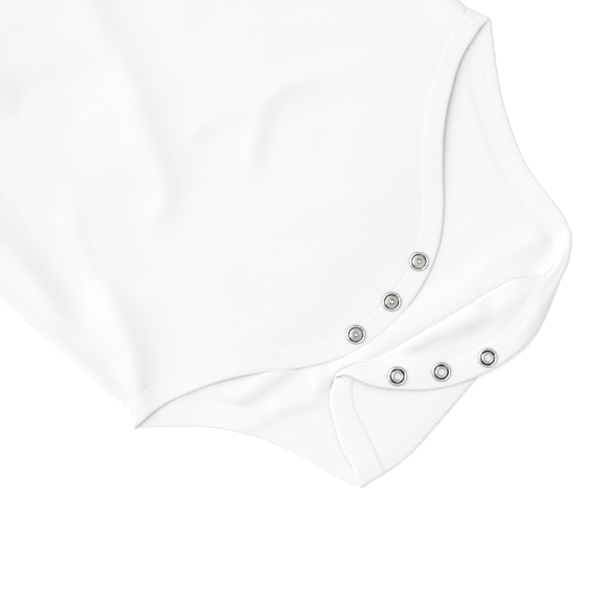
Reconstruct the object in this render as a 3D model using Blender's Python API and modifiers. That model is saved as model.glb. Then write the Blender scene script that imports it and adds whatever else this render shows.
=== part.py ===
"""A baby bodysuit laid flat, front side up, with its crotch unsnapped and its back flap pleated.

Sizes are in millimetres on the lie of the garment: X runs across it, "down" is the distance
below the hip line towards the crotch (-Y), and Z is up from the surface that it lies on.
"""

from collections import namedtuple
import math

import bpy
import numpy as np

MM = 0.001

# Cloth
JERSEY = 1.1  # thickness of a panel's wall
BAND = 1.8  # thickness of the rib bands: folded rib, sewn over the edge
SEAM_GAP = 0.3  # between two pieces at a seam
LEG_BAND_WIDTH = 11.0
NECK_BAND_WIDTH = 13.0
SEAM_LEAN = 0.28  # how much the side seam leans in above the leg band, to one up
SEAM_REACH = 22.0  # how far from the side seam a leg band's rows lean with it

# Body
BODY_HALF = 122.0  # half the width from the underarm to the hip
HIP_HALF = 124.5  # half the width on the leg bands
HIP_SPREAD = (-14.0, 16.0)  # heights over the hip line between which the side spreads to that
HIP_GRID_TOP = 20.0  # height over the hip line where a panel's rows start to spread
UNDERARM = 178.0  # height of the underarm above the hip line
NECK_HALF, NECK_Y = 64.0, 310.0  # where the shoulder seam meets the neckband
FRONT_NECK_DROP, BACK_NECK_DROP = 48.0, 13.0
NECK_FOLD_LEAN = math.radians(62)  # lean from upright of the neckband's fold at the shoulder
HIP_LINE_Y = -102.2  # the hip line's place, with the origin at the middle of the whole outline

# The armhole from the underarm up to the shoulder seam
ArmholePlace = namedtuple("ArmholePlace", "in_from_side over_underarm")
ARMHOLE = (
    ArmholePlace(0.0, 0.0),
    ArmholePlace(12.0, 9.0),
    ArmholePlace(20.5, 32.0),
    ArmholePlace(23.5, 72.0),
    ArmholePlace(23.0, 112.0),
)
SHOULDER_X = BODY_HALF - ARMHOLE[-1].in_from_side  # where the shoulder seam meets the sleeve
SHOULDER_Y = UNDERARM + ARMHOLE[-1].over_underarm

# Sleeves
SLEEVE_TOP = 96.0  # length along the folded top edge
SLEEVE_FALL = math.radians(27)  # how far the top edge falls away from level
CUFF_HALF_ROUND = 84.0  # half the way round the cuff
CUFF_TILT = math.radians(24)  # the cuff's lean from upright
SLEEVE_PUFF = 1.4  # how much the upper wall stands up in its middle
SLEEVE_PUFF_RISE = 0.4  # share of the sleeve's length over which it rises from the armhole

# Lie of the layers
FRONT_LIFT = 2.4  # underside of the front over the surface, away from its side seams
SIDE_LIFT = JERSEY + SEAM_GAP  # underside of the front at its side seams
SIDE_ROUND = 15.0  # how far in from the side seam the front reaches its full height
NECK_ROUND = 18.0  # how far down from the neckband it has its full relief
PUFF = 1.2  # how much the front stands up in its middle
LOWEST_RELIEF = -0.6  # a trough never sinks the front further than this, so it clears the back
FRONT_SHIFT = -4.3  # the front's legs and tongue lie this far to one side

# Where the lie changes: the place at which it starts, and over how much
Change = namedtuple("Change", "start run")
SIDES_DOWN = Change(8.0, 20.0)  # going up from the hip line, the sides come down onto the back
TONGUE_RISE = Change(-42.0, 30.0)  # going up, the tongue's relief starts; it is flat at its snaps
SHOULDER_DOWN = Change(SHOULDER_Y - 14.0, 12.0)  # going up, the shoulder comes down onto the back
SHIFT_DOWN = Change(-16.0, 20.0)  # going down past the hip line, the front shifts to one side

Place = namedtuple("Place", "across down")

# The leg and crotch edge as cut, from the side seam to the middle of the tongue or flap
FRONT_EDGE = (
    Place(123.5, 0.0),
    Place(107.5, 2.8),
    Place(91.5, 9.8),
    Place(77.0, 18.4),
    Place(62.5, 30.2),
    Place(49.5, 42.0),
    Place(35.0, 51.8),
    Place(18.0, 57.8),
    Place(0.0, 59.8),
)
BACK_EDGE = (
    Place(126.5, 1.0),
    Place(104.2, 27.0),
    Place(93.0, 48.5),
    Place(83.5, 79.5),
    Place(77.0, 105.0),
    Place(69.0, 125.0),
    Place(55.0, 145.0),
    Place(42.0, 156.0),
    Place(23.0, 164.5),
    Place(0.0, 168.2),
)

# The pleat in the back flap. Both creases run to one apex beyond the right edge of the flap.
APEX = Place(94.0, 105.6)
PLEAT_ANGLE = math.radians(19.0)
FOLD_RADIUS = 1.1  # of the cloth's middle, so two bands lie one on the other with a gap
OVERHANG_DROP = 2.8  # how far the top layer sinks where nothing lies under it
OVERHANG_DOWN = Change(2.0, 8.0)  # below the apex, where it sinks
OVERHANG_ACROSS = Change(10.0, 16.0)  # from the middle to the right, where it sinks
BEND_STEPS = 6
BETWEEN_STEPS = 4  # from the lower crease to the upper one

# Local shifts of the lie, such as where the bands pull the cloth in at the ends of a crease
Nudge = namedtuple("Nudge", "across down reach move_across move_down")
NUDGES = (
    Nudge(79.0, 106.0, 14.0, -4.0, -5.5),
    Nudge(-79.0, 106.0, 16.0, -3.5, -7.5),
    Nudge(88.0, 62.0, 26.0, -3.6, 0.0),
    Nudge(-66.0, 78.0, 15.0, -6.5, 0.0),
    Nudge(-52.0, 58.0, 14.0, -5.0, -1.0),
    Nudge(-44.6, 71.3, 12.0, -4.0, -4.6),
    Nudge(-45.0, 63.0, 9.0, 1.8, -1.5),
    Nudge(-30.0, 76.0, 10.0, 2.5, 2.5),
    Nudge(50.0, 112.0, 16.0, -2.0, -2.2),
)

# Soft troughs pressed into the front: a line from one end to the other, with its width and depth
Trough = namedtuple("Trough", "x1 y1 x2 y2 width depth")
TROUGHS = (
    Trough(14.0, 144.0, -4.0, 98.0, 11.0, 1.3),
    Trough(-4.0, 98.0, -33.0, 60.0, 11.0, 1.5),
    Trough(-46.0, 58.0, -59.0, 50.0, 8.0, 1.0),
    Trough(-58.0, 95.0, -84.0, 55.0, 9.0, 1.2),
    Trough(-84.0, 55.0, -98.0, 20.0, 10.0, 1.3),
    Trough(-94.0, 113.0, -107.0, 62.0, 9.0, 1.2),
    Trough(2.0, 37.0, 29.0, 48.0, 9.0, 1.0),
    Trough(29.0, 48.0, 58.0, 31.0, 9.0, 1.0),
    Trough(-7.0, 67.0, 24.0, 54.0, 8.0, 0.8),
    Trough(43.0, 18.0, 64.0, 19.0, 8.0, 0.6),
    Trough(-43.0, 157.0, -51.0, 130.0, 9.0, 1.0),
    Trough(78.0, 190.0, 52.0, 140.0, 11.0, 1.2),
    Trough(95.0, 150.0, 86.0, 85.0, 11.0, 1.2),
    Trough(-88.0, 205.0, -70.0, 240.0, 11.0, 1.1),
    Trough(30.0, 232.0, 62.0, 250.0, 10.0, 1.0),
)

# Snaps
SNAP_PITCH = 22.6
STUD_DOWN, STUD_DIP = 49.7, 2.6  # the outer studs' place, and how much lower the middle one is
SOCKET_DOWN, SOCKET_DIP = 158.6, 2.2
SNAP_SEGMENTS = 20
SNAP_MERGE = 0.01  # points this close are one
RING_THICKNESS = 0.5

Turned = namedtuple("Turned", "radius height")
STUD_PROFILE = (
    Turned(0.6, 2.0),
    Turned(1.3, 2.0),
    Turned(1.55, 1.1),
    Turned(2.9, 0.8),
    Turned(3.3, 0.35),
    Turned(3.8, 0.85),
    Turned(4.4, 0.7),
    Turned(4.5, 0.0),
    Turned(0.6, 0.0),
)
SOCKET_PROFILE = (
    Turned(1.8, 0.9),
    Turned(2.3, 1.25),
    Turned(3.0, 1.1),
    Turned(3.35, 0.7),
    Turned(3.8, 0.95),
    Turned(4.4, 0.75),
    Turned(4.5, 0.0),
    Turned(1.8, 0.0),
)
RING_PROFILE = (
    Turned(2.6, RING_THICKNESS),
    Turned(4.4, RING_THICKNESS),
    Turned(4.4, 0.0),
    Turned(2.6, 0.0),
)

# How finely the cloth is cut up
BODY_ROWS, ARMHOLE_ROWS = 16, 9
FRONT_LEG_ROWS, BACK_LEG_ROWS, FLAP_ROWS = 8, 9, 6
FRONT_COLUMNS, BACK_COLUMNS = 26, 18
FRONT_NECK_COLUMNS, BACK_NECK_COLUMNS = 16, 12  # those that end on the neck edge
SLEEVE_ROWS = 6
NECK_BAND_STEPS = 2  # from the neckband's seam to its edge
TURN_STEPS = 4  # round a folded edge of a sleeve or the neckband
FRONT_CORNERS = (44.0, 44.0)  # from the middle of the edge to the corners of a panel's grid
BACK_CORNERS = (30.0, 48.0)
SAMPLES = 1200  # points on a smooth edge that places are read from
ARMHOLE_SAMPLES = 80
SPAN_SAMPLES = 60  # between two given places, before they are spaced evenly


# --- curves -------------------------------------------------------------------------------------


def smooth_through(places, samples=SAMPLES):
    """Evenly spaced points on a centripetal Catmull-Rom curve through the places."""
    knots = np.array(places, float)
    knots = np.vstack([2 * knots[0] - knots[1], knots, 2 * knots[-1] - knots[-2]])
    pieces = []
    for a, b, c, d in zip(knots, knots[1:], knots[2:], knots[3:]):
        t0 = 0.0
        t1 = t0 + math.dist(a, b) ** 0.5
        t2 = t1 + math.dist(b, c) ** 0.5
        t3 = t2 + math.dist(c, d) ** 0.5
        t = np.linspace(t1, t2, SPAN_SAMPLES, endpoint=False)[:, None]
        ab = (t1 - t) / (t1 - t0) * a + (t - t0) / (t1 - t0) * b
        bc = (t2 - t) / (t2 - t1) * b + (t - t1) / (t2 - t1) * c
        cd = (t3 - t) / (t3 - t2) * c + (t - t2) / (t3 - t2) * d
        abc = (t2 - t) / (t2 - t0) * ab + (t - t0) / (t2 - t0) * bc
        bcd = (t3 - t) / (t3 - t1) * bc + (t - t1) / (t3 - t1) * cd
        pieces.append((t2 - t) / (t2 - t1) * abc + (t - t1) / (t2 - t1) * bcd)
    curve = np.vstack([*pieces, knots[-2]])
    return evenly(curve, samples)


def lengths_along(curve):
    steps = np.linalg.norm(np.diff(curve, axis=0), axis=1)
    return np.concatenate([[0.0], np.cumsum(steps)])


def read_at(curve, positions, wanted):
    """The curve's points where the rising positions reach the wanted values."""
    return np.stack([np.interp(wanted, positions, axis) for axis in curve.T], axis=-1)


def evenly(curve, count):
    along = lengths_along(curve)
    return read_at(curve, along, np.linspace(0, along[-1], count))


def smoothstep(value):
    value = np.clip(value, 0.0, 1.0)
    return value * value * (3 - 2 * value)


def past(change, value):
    """0 up to the change's start, 1 from its end on, and smooth between."""
    return smoothstep((value - change.start) / change.run)


def whole_edge(half_edge):
    """The edge from the left side seam, round the end, to the right side seam."""
    right = smooth_through(half_edge, SAMPLES // 2)
    left = right * (-1, 1)
    return np.vstack([left, right[::-1][1:]])


def inset(edge, depth):
    """The edge moved into the cloth; at the side seams it slides up along the seam instead."""
    tangent = np.gradient(edge, axis=0)
    tangent /= np.linalg.norm(tangent, axis=1)[:, None]
    inward = np.stack([tangent[:, 1], -tangent[:, 0]], axis=1)
    along = lengths_along(edge)
    from_side = np.minimum(along, along[-1] - along)
    blend = 1 - smoothstep(from_side / SEAM_REACH)[:, None]
    seam_way = np.stack([-SEAM_LEAN * np.sign(edge[:, 0]), -np.ones(len(edge))], axis=1)
    way = (1 - blend) * inward + blend * seam_way
    way /= np.sum(way * inward, axis=1)[:, None]
    return edge + depth * way


def patch(first, last, left, right):
    """A grid that fills four edges: rows run from left to right, from the first to the last."""
    rows, columns = len(left), len(first)
    g = np.linspace(0, 1, rows)[:, None, None]
    c = np.linspace(0, 1, columns)[None, :, None]
    across = (1 - c) * left[:, None] + c * right[:, None]
    along = (1 - g) * first[None] + g * last[None]
    corners = (1 - g) * ((1 - c) * first[0] + c * first[-1]) + g * (
        (1 - c) * last[0] + c * last[-1]
    )
    return across + along - corners


# --- the pleat ----------------------------------------------------------------------------------

BEND = math.pi * FOLD_RADIUS  # cloth used up by one crease
PLAIN = 10.0  # unit of the way before and after the pleat


def fold_way(points):
    """How far each flat place is through the pleat: 0-1 lower crease, 1-2 between, 2-3 upper."""
    radius = np.hypot(APEX.across - points[..., 0], points[..., 1] - APEX.down)
    turn = np.arctan2(points[..., 1] - APEX.down, APEX.across - points[..., 0])
    way = radius * turn + FOLD_RADIUS
    between = radius * PLEAT_ANGLE - BEND
    upper = way - radius * PLEAT_ANGLE
    return np.select(
        [way < 0, way < BEND, upper < 0, upper < BEND],
        [way / PLAIN, way / BEND, 1 + (way - BEND) / between, 2 + upper / BEND],
        3 + (upper - BEND) / PLAIN,
    )


def place_on_fold(way, radius):
    """The flat place that lies at this way through the pleat, at this distance from the apex."""
    between = radius * PLEAT_ANGLE - BEND
    arc = np.select(
        [way <= 1, way <= 2],
        [way * BEND, BEND + (way - 1) * between],
        radius * PLEAT_ANGLE + (way - 2) * BEND,
    )
    turn = (arc - FOLD_RADIUS) / radius
    across = APEX.across - radius * np.cos(turn)
    down = APEX.down + radius * np.sin(turn)
    return np.stack([across, down], axis=-1)


def fold(points):
    """Lays flat places of the back down with the pleat in: across, down and height."""
    dx, dy = APEX.across - points[..., 0], points[..., 1] - APEX.down
    radius = np.hypot(dx, dy)
    way = radius * np.arctan2(dy, dx) + FOLD_RADIUS
    upper = way - radius * PLEAT_ANGLE
    lower_bend = np.clip(way / BEND, 0, 1) * math.pi
    upper_bend = np.clip(upper / BEND, 0, 1) * math.pi
    before = np.minimum(way, 0.0)
    between = np.clip(way - BEND, 0.0, np.maximum(radius * PLEAT_ANGLE - BEND, 0.0))
    after = np.maximum(upper - BEND, 0.0)
    level = (
        before
        - FOLD_RADIUS
        + FOLD_RADIUS * (np.sin(lower_bend) - np.sin(upper_bend))
        - between
        + after
    )
    height = FOLD_RADIUS * (2 - np.cos(lower_bend) - np.cos(upper_bend))
    turn = level / radius
    across = APEX.across - radius * np.cos(turn)
    down = APEX.down + radius * np.sin(turn)
    top_layer = past(Change(3 * FOLD_RADIUS, FOLD_RADIUS), height)
    beyond = past(OVERHANG_DOWN, down - APEX.down) * past(OVERHANG_ACROSS, across)
    height = height - OVERHANG_DROP * beyond * top_layer
    return np.stack([across, down, height], axis=-1)


def nudged(laid):
    """The lie with its local shifts; all layers at one place move together."""
    moved = laid.copy()
    for nudge in NUDGES:
        near = np.exp(
            -((laid[..., 0] - nudge.across) ** 2 + (laid[..., 1] - nudge.down) ** 2)
            / nudge.reach**2
        )
        moved[..., 0] += nudge.move_across * near
        moved[..., 1] += nudge.move_down * near
    return moved


# --- the lie of the front -----------------------------------------------------------------------


def relief(x, y):
    """Height of the front's puff and troughs over its plain lie."""
    height = np.full(np.shape(x), PUFF)
    for trough in TROUGHS:
        way = np.array((trough.x2 - trough.x1, trough.y2 - trough.y1))
        share = ((x - trough.x1) * way[0] + (y - trough.y1) * way[1]) / way.dot(way)
        share = np.clip(share, 0, 1)
        off = np.hypot(x - trough.x1 - share * way[0], y - trough.y1 - share * way[1])
        height = height - trough.depth * np.exp(-((off / trough.width) ** 2))
    return height


def front_underside(x, y, edge_share):
    """Height of the front's lower face; edge_share is 1 on a sewn edge and 0 well inside."""
    plain = FRONT_LIFT + (SIDE_LIFT - FRONT_LIFT) * edge_share * past(SIDES_DOWN, y)
    over_plain = np.maximum(relief(x, y), LOWEST_RELIEF) * past(TONGUE_RISE, y)
    off_neck = FRONT_NECK_DROP * (np.hypot(x / NECK_HALF, (NECK_Y - y) / FRONT_NECK_DROP) - 1)
    return plain + over_plain * (1 - edge_share) * smoothstep(off_neck / NECK_ROUND)


def side_edge_share(x, y):
    """Nearness to the side seam or armhole."""
    return 1 - smoothstep((half_width(y) - np.abs(x)) / SIDE_ROUND)


def half_width(y):
    """Half the body's width at a height over the hip line."""
    armhole = armhole_edge()
    body = np.interp(y, HIP_SPREAD, (HIP_HALF, BODY_HALF))
    above = np.interp(y, armhole[:, 1], armhole[:, 0])
    return np.where(y > UNDERARM, above, body)


def armhole_edge():
    """The armhole at +X from the underarm to the shoulder, as x and y."""
    places = [(BODY_HALF - place.in_from_side, UNDERARM + place.over_underarm) for place in ARMHOLE]
    return smooth_through(places, ARMHOLE_SAMPLES)


# --- panels as grids of flat places -------------------------------------------------------------


def top_edge(columns, neck_columns, neck_drop):
    """A panel's top from the left shoulder, round the neck, to the right shoulder."""
    share = np.linspace(-1, 1, columns + 1)
    neck = neck_columns / columns
    turn = np.clip(share / neck, -1, 1) * math.pi / 2
    out = np.clip((np.abs(share) - neck) / (1 - neck), 0, 1)
    x = NECK_HALF * np.sin(turn) + np.sign(share) * out * (SHOULDER_X - NECK_HALF)
    y = NECK_Y - neck_drop * np.cos(turn) - out * (NECK_Y - SHOULDER_Y)
    return np.stack([x, -y], axis=1)


def level_row(half, down, columns):
    across = np.linspace(-half, half, columns + 1)
    return np.stack([across, np.full(columns + 1, down)], axis=1)


def upper_grid(columns, neck_columns, neck_drop, hip):
    """Flat places from the shoulders down to the hip row, which ends at the place hip."""
    side = evenly(armhole_edge(), ARMHOLE_ROWS + 1)[::-1] * (1, -1)
    yoke = patch(
        top_edge(columns, neck_columns, neck_drop),
        level_row(BODY_HALF, -UNDERARM, columns),
        side * (-1, 1),
        side,
    )
    downs = np.linspace(-UNDERARM, hip.down, BODY_ROWS + 1)
    halves = np.interp(downs, (-HIP_GRID_TOP, hip.down), (BODY_HALF, hip.across))
    body = [level_row(half, down, columns) for half, down in zip(halves, downs)]
    return np.concatenate([yoke, np.array(body)[1:]])


def edge_places(edge, middle, corner, rows, columns, creases=None):
    """Places along a leg edge for the left side, the end and the right side.

    middle is how far along the end's middle is, corner how far each corner is from it, and
    creases lists the ways through the pleat that both sides have a place at.
    """
    along = lengths_along(edge)
    share = along / along[-1] * 2 * middle
    left_corner, right_corner = middle - corner[0], middle + corner[1]
    end = read_at(edge, share, np.linspace(left_corner, right_corner, columns + 1))
    if creases is None:
        left = np.linspace(0, left_corner, rows + 1)
        right = np.linspace(2 * middle, right_corner, rows + 1)
        return read_at(edge, share, left), end, read_at(edge, share, right)
    way = fold_way(edge)
    half = len(edge) // 2
    left_at = np.interp(creases, way[:half], share[:half])
    right_at = np.interp(creases, way[:half:-1], share[:half:-1])
    left = np.concatenate(
        [
            np.linspace(0, left_at[0], rows + 1)[:-1],
            left_at,
            np.linspace(left_at[-1], left_corner, FLAP_ROWS + 1)[1:],
        ]
    )
    right = np.concatenate(
        [
            np.linspace(2 * middle, right_at[0], rows + 1)[:-1],
            right_at,
            np.linspace(right_at[-1], right_corner, FLAP_ROWS + 1)[1:],
        ]
    )
    return read_at(edge, share, left), end, read_at(edge, share, right)


def crease_ways():
    """Ways through the pleat that get a row: close together in the bends."""
    bend = np.linspace(0, 1, BEND_STEPS + 1)
    between = np.linspace(1, 2, BETWEEN_STEPS + 1)[1:-1]
    return np.concatenate([bend, between, 2 + bend])


FRONT_OUTLINE = whole_edge(FRONT_EDGE)
BACK_OUTLINE = whole_edge(BACK_EDGE)
FRONT_HALF_EDGE = lengths_along(FRONT_OUTLINE)[-1] / 2
BACK_HALF_EDGE = lengths_along(BACK_OUTLINE)[-1] / 2


def front_places(depth):
    edge = inset(FRONT_OUTLINE, depth)
    return edge_places(edge, FRONT_HALF_EDGE, FRONT_CORNERS, FRONT_LEG_ROWS, FRONT_COLUMNS)


def back_places(depth):
    edge = inset(BACK_OUTLINE, depth)
    return edge_places(
        edge, BACK_HALF_EDGE, BACK_CORNERS, BACK_LEG_ROWS, BACK_COLUMNS, crease_ways()
    )


def front_grid():
    left, end, right = front_places(LEG_BAND_WIDTH)
    hip = level_row(right[0, 0], right[0, 1], FRONT_COLUMNS)
    leg = patch(hip, end, left, right)
    upper = upper_grid(FRONT_COLUMNS, FRONT_NECK_COLUMNS, FRONT_NECK_DROP, Place(*right[0]))
    return np.concatenate([upper, leg[1:]])


def back_grid():
    left, end, right = back_places(LEG_BAND_WIDTH)
    ways = crease_ways()
    first, last = BACK_LEG_ROWS, BACK_LEG_ROWS + len(ways) - 1
    pleat = []
    for index, way in enumerate(ways, first):
        ends = np.array((left[index], right[index]))
        radii = np.hypot(APEX.across - ends[:, 0], ends[:, 1] - APEX.down)
        pleat.append(place_on_fold(way, np.linspace(*radii, BACK_COLUMNS + 1)))
    hip = level_row(right[0, 0], right[0, 1], BACK_COLUMNS)
    leg = patch(hip, pleat[0], left[: first + 1], right[: first + 1])
    flap = patch(pleat[-1], end, left[last:], right[last:])
    upper = upper_grid(BACK_COLUMNS, BACK_NECK_COLUMNS, BACK_NECK_DROP, Place(*right[0]))
    return np.concatenate([upper, leg[1:], np.array(pleat)[1:], flap[1:]])


# --- flat places to points in the lie -----------------------------------------------------------


def lay_front(points, thickness):
    """The middle of the front's cloth over flat places, in X, Y and Z."""
    x = points[..., 0] + FRONT_SHIFT * past(SHIFT_DOWN, points[..., 1])
    y = -points[..., 1]
    share = np.maximum(side_edge_share(points[..., 0], y), past(SHOULDER_DOWN, y))
    return np.stack([x, y, front_underside(x, y, share) + thickness / 2], axis=-1)


def lay_back(points, thickness):
    """The middle of the back's cloth over flat places, in X, Y and Z."""
    laid = nudged(fold(points))
    return np.stack([laid[..., 0], -laid[..., 1], laid[..., 2] + thickness / 2], axis=-1)


# --- objects ------------------------------------------------------------------------------------


def make_material(name, colour, roughness, metallic=0.0):
    material = bpy.data.materials.new(name)
    material.use_nodes = True
    shader = material.node_tree.nodes["Principled BSDF"]
    shader.inputs["Base Color"].default_value = (*colour, 1.0)
    shader.inputs["Roughness"].default_value = roughness
    shader.inputs["Metallic"].default_value = metallic
    return material


def add_object(name, vertices, faces, material, collection):
    mesh = bpy.data.meshes.new(name)
    mesh.from_pydata([tuple(v) for v in vertices], [], faces)
    mesh.materials.append(material)
    mesh.shade_smooth()
    made = bpy.data.objects.new(name, mesh)
    made.location.y = HIP_LINE_Y * MM
    collection.objects.link(made)
    return made


def add_cloth(name, rows, thickness, material, collection, ring=False):
    """Cloth lofted through rows of points; with ring the last row joins the first."""
    rows = np.asarray(rows) * MM
    count, columns = rows.shape[:2]
    faces = []
    for i in range(count if ring else count - 1):
        this, after = i * columns, (i + 1) % count * columns
        for j in range(columns - 1):
            faces.append((this + j, this + j + 1, after + j + 1, after + j))
    made = add_object(name, rows.reshape(-1, 3), faces, material, collection)
    wall = made.modifiers.new("wall", "SOLIDIFY")
    wall.thickness = thickness * MM
    wall.offset = 0.0
    wall.use_even_offset = True
    return made


def add_leg_band(name, places, lay, material, collection):
    """The rib band round a leg edge: from the seam with the panel out to the edge."""
    rows = []
    for depth in (LEG_BAND_WIDTH - SEAM_GAP, LEG_BAND_WIDTH / 2, 0.0):
        left, end, right = places(depth)
        rows.append(np.concatenate([left, end[1:-1], right[::-1]]))
    return add_cloth(name, lay(np.array(rows), BAND), BAND, material, collection)


def sleeve_rows(side):
    """Rows of a flattened tube from the armhole to the cuff, round from the upper wall's fold."""
    armhole = evenly(armhole_edge(), ARMHOLE_ROWS + 1)[::-1]
    tangent = np.gradient(armhole, axis=0)
    outward = np.stack([-tangent[:, 1], tangent[:, 0]], axis=1)
    armhole = armhole + SEAM_GAP * outward / np.linalg.norm(outward, axis=1)[:, None]
    top = armhole[0] + SLEEVE_TOP * np.array((math.cos(SLEEVE_FALL), -math.sin(SLEEVE_FALL)))
    cuff_way = np.array((-math.sin(CUFF_TILT), -math.cos(CUFF_TILT)))
    cuff = np.linspace(top, top + CUFF_HALF_ROUND * cuff_way, ARMHOLE_ROWS + 1)
    low, high = JERSEY / 2, SIDE_LIFT + JERSEY / 2
    middle, radius = (low + high) / 2, (high - low) / 2
    share = np.linspace(0, 1, ARMHOLE_ROWS + 1)
    along = np.linspace(0, 1, SLEEVE_ROWS + 1)[:, None]
    opening = smoothstep(along / SLEEVE_PUFF_RISE)
    clear_of_body = np.array((math.sin(CUFF_TILT), -math.cos(CUFF_TILT)))

    def row(station, height, out=(0.0, 0.0)):
        plan = armhole[station] + (cuff[station] - armhole[station]) * along + out
        return np.hstack([plan * (side, 1), height])

    def fold_rows(station, start, way):
        """Round a folded edge from the wall at height start to the other one."""
        return [
            row(
                station,
                level * (middle + (start - middle) * math.cos(t)),
                radius * math.sin(t) * way,
            )
            for t in np.linspace(0, math.pi, TURN_STEPS + 1)[1:-1]
        ]

    level = np.ones_like(along)
    puff = SLEEVE_PUFF * np.sin(math.pi * share)
    rows = [row(i, high + puff[i] * opening) for i in range(len(share))]
    rows += fold_rows(-1, high, clear_of_body)
    rows += [row(i, level * low) for i in range(len(share))[::-1]]
    rows += fold_rows(0, low, -cuff_way)
    return rows


def neckband_rows():
    """Rows across the rib ring, from its seam to its edge: front, fold, back, fold."""
    low, high = BAND / 2, BAND + SEAM_GAP + BAND / 2
    middle, radius = (low + high) / 2, (high - low) / 2
    steps = np.linspace(0, NECK_BAND_WIDTH, NECK_BAND_STEPS + 1)[:, None]

    def row(share, drop, height, out=0.0):
        turn, lean = share * math.pi / 2, share * NECK_FOLD_LEAN
        inward = np.array((-math.sin(lean), math.cos(lean)))
        outward = np.sign(share) * np.array((math.cos(lean), math.sin(lean)))
        seam = np.array((NECK_HALF * math.sin(turn), NECK_Y - drop * math.cos(turn)))
        plan = seam + SEAM_GAP * inward + out * outward + steps * inward
        return np.hstack([plan, np.full((len(steps), 1), height)])

    front_across = np.linspace(-1, 1, FRONT_NECK_COLUMNS + 1)
    back_across = np.linspace(1, -1, BACK_NECK_COLUMNS + 1)
    turn = np.linspace(0, math.pi, TURN_STEPS + 1)[1:-1]
    rows = [row(share, FRONT_NECK_DROP, high) for share in front_across]
    rows += [row(1, 0, middle + radius * math.cos(t), radius * math.sin(t)) for t in turn]
    rows += [row(share, BACK_NECK_DROP, low) for share in back_across]
    rows += [row(-1, 0, middle - radius * math.cos(t), radius * math.sin(t)) for t in turn]
    return rows


def add_turned(name, profile, place, material, collection):
    """A turned metal piece: the profile runs round a closed section clear of the axis."""
    vertices = [(turned.radius * MM, 0.0, turned.height * MM) for turned in profile]
    mesh = bpy.data.meshes.new(name)
    edges = [(i, (i + 1) % len(profile)) for i in range(len(profile))]
    mesh.from_pydata(vertices, edges, [])
    mesh.materials.append(material)
    made = bpy.data.objects.new(name, mesh)
    made.location = (place + (0, HIP_LINE_Y, 0)) * MM
    collection.objects.link(made)
    screw = made.modifiers.new("turn", "SCREW")
    screw.steps = SNAP_SEGMENTS
    screw.render_steps = SNAP_SEGMENTS
    screw.use_merge_vertices = True
    screw.merge_threshold = SNAP_MERGE * MM
    return made


def add_snaps(kind, profile, down, dip, lay, material, collection):
    """Three snap halves on a band, each with its prong ring on the band's other face."""
    for number, offset in enumerate((-1, 0, 1), 1):
        flat = np.array((offset * SNAP_PITCH, down + (dip if offset == 0 else 0.0)))
        middle = lay(flat, BAND)
        face = middle + (0, 0, BAND / 2 + SEAM_GAP)
        add_turned(f"{kind}_{number}", profile, face, material, collection)
        ring = middle - (0, 0, BAND / 2 + SEAM_GAP + RING_THICKNESS)
        add_turned(f"{kind}_ring_{number}", RING_PROFILE, ring, material, collection)


def main():
    for old in list(bpy.data.objects):
        bpy.data.objects.remove(old, do_unlink=True)
    collection = bpy.data.collections.new("baby_bodysuit")
    bpy.context.scene.collection.children.link(collection)

    jersey = make_material("white cotton jersey", (0.87, 0.87, 0.87), 0.9)
    rib = make_material("white cotton rib", (0.85, 0.85, 0.85), 0.9)
    nickel = make_material("nickel-plated brass", (0.56, 0.56, 0.55), 0.3, 1.0)

    front = lay_front(front_grid(), JERSEY)
    back = lay_back(back_grid(), JERSEY)
    add_cloth("front_panel", front, JERSEY, jersey, collection)
    add_cloth("back_panel", back, JERSEY, jersey, collection)
    add_cloth("sleeve_left", sleeve_rows(1), JERSEY, jersey, collection, ring=True)
    add_cloth("sleeve_right", sleeve_rows(-1), JERSEY, jersey, collection, ring=True)
    add_cloth("neckband", neckband_rows(), BAND, rib, collection, ring=True)
    add_leg_band("front_leg_band", front_places, lay_front, rib, collection)
    add_leg_band("back_leg_band", back_places, lay_back, rib, collection)
    add_snaps("stud", STUD_PROFILE, STUD_DOWN, STUD_DIP, lay_front, nickel, collection)
    add_snaps("socket", SOCKET_PROFILE, SOCKET_DOWN, SOCKET_DIP, lay_back, nickel, collection)


main()
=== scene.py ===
"""Looks of a white baby bodysuit laid flat, front up, with its crotch unsnapped and the flap pleated.

Sizes in the code are millimetres on the lie of the garment: x across it, y up from the hip line
and z up from the surface that it lies on. Flat places are written as across and down, with down
the distance below the hip line. The properties are in metres.
"""

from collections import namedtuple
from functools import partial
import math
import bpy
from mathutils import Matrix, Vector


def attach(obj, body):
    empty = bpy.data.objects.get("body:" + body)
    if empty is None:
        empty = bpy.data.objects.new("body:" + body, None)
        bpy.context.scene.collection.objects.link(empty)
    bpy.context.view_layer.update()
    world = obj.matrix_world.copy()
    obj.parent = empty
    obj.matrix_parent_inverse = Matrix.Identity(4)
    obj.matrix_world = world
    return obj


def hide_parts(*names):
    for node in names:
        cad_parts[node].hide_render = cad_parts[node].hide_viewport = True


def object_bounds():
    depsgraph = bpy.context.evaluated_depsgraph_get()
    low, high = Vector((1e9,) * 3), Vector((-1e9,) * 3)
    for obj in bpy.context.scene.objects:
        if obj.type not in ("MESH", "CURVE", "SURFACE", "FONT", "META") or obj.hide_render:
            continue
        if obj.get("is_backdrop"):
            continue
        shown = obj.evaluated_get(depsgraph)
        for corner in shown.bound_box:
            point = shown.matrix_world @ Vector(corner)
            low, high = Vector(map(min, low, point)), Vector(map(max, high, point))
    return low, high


bl_info = {
    "name": "Baby Bodysuit",
    "version": (1, 0, 0),
    "blender": (4, 5, 0),
    "location": "3D View > Sidebar > Bodysuit",
    "description": "Dresses a baby bodysuit in cotton jersey, rib, thread and nickel snaps",
    "category": "Add Mesh",
}

import bmesh
import bpy
from mathutils import Matrix, Vector
from mathutils.kdtree import KDTree
import numpy as np

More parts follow.
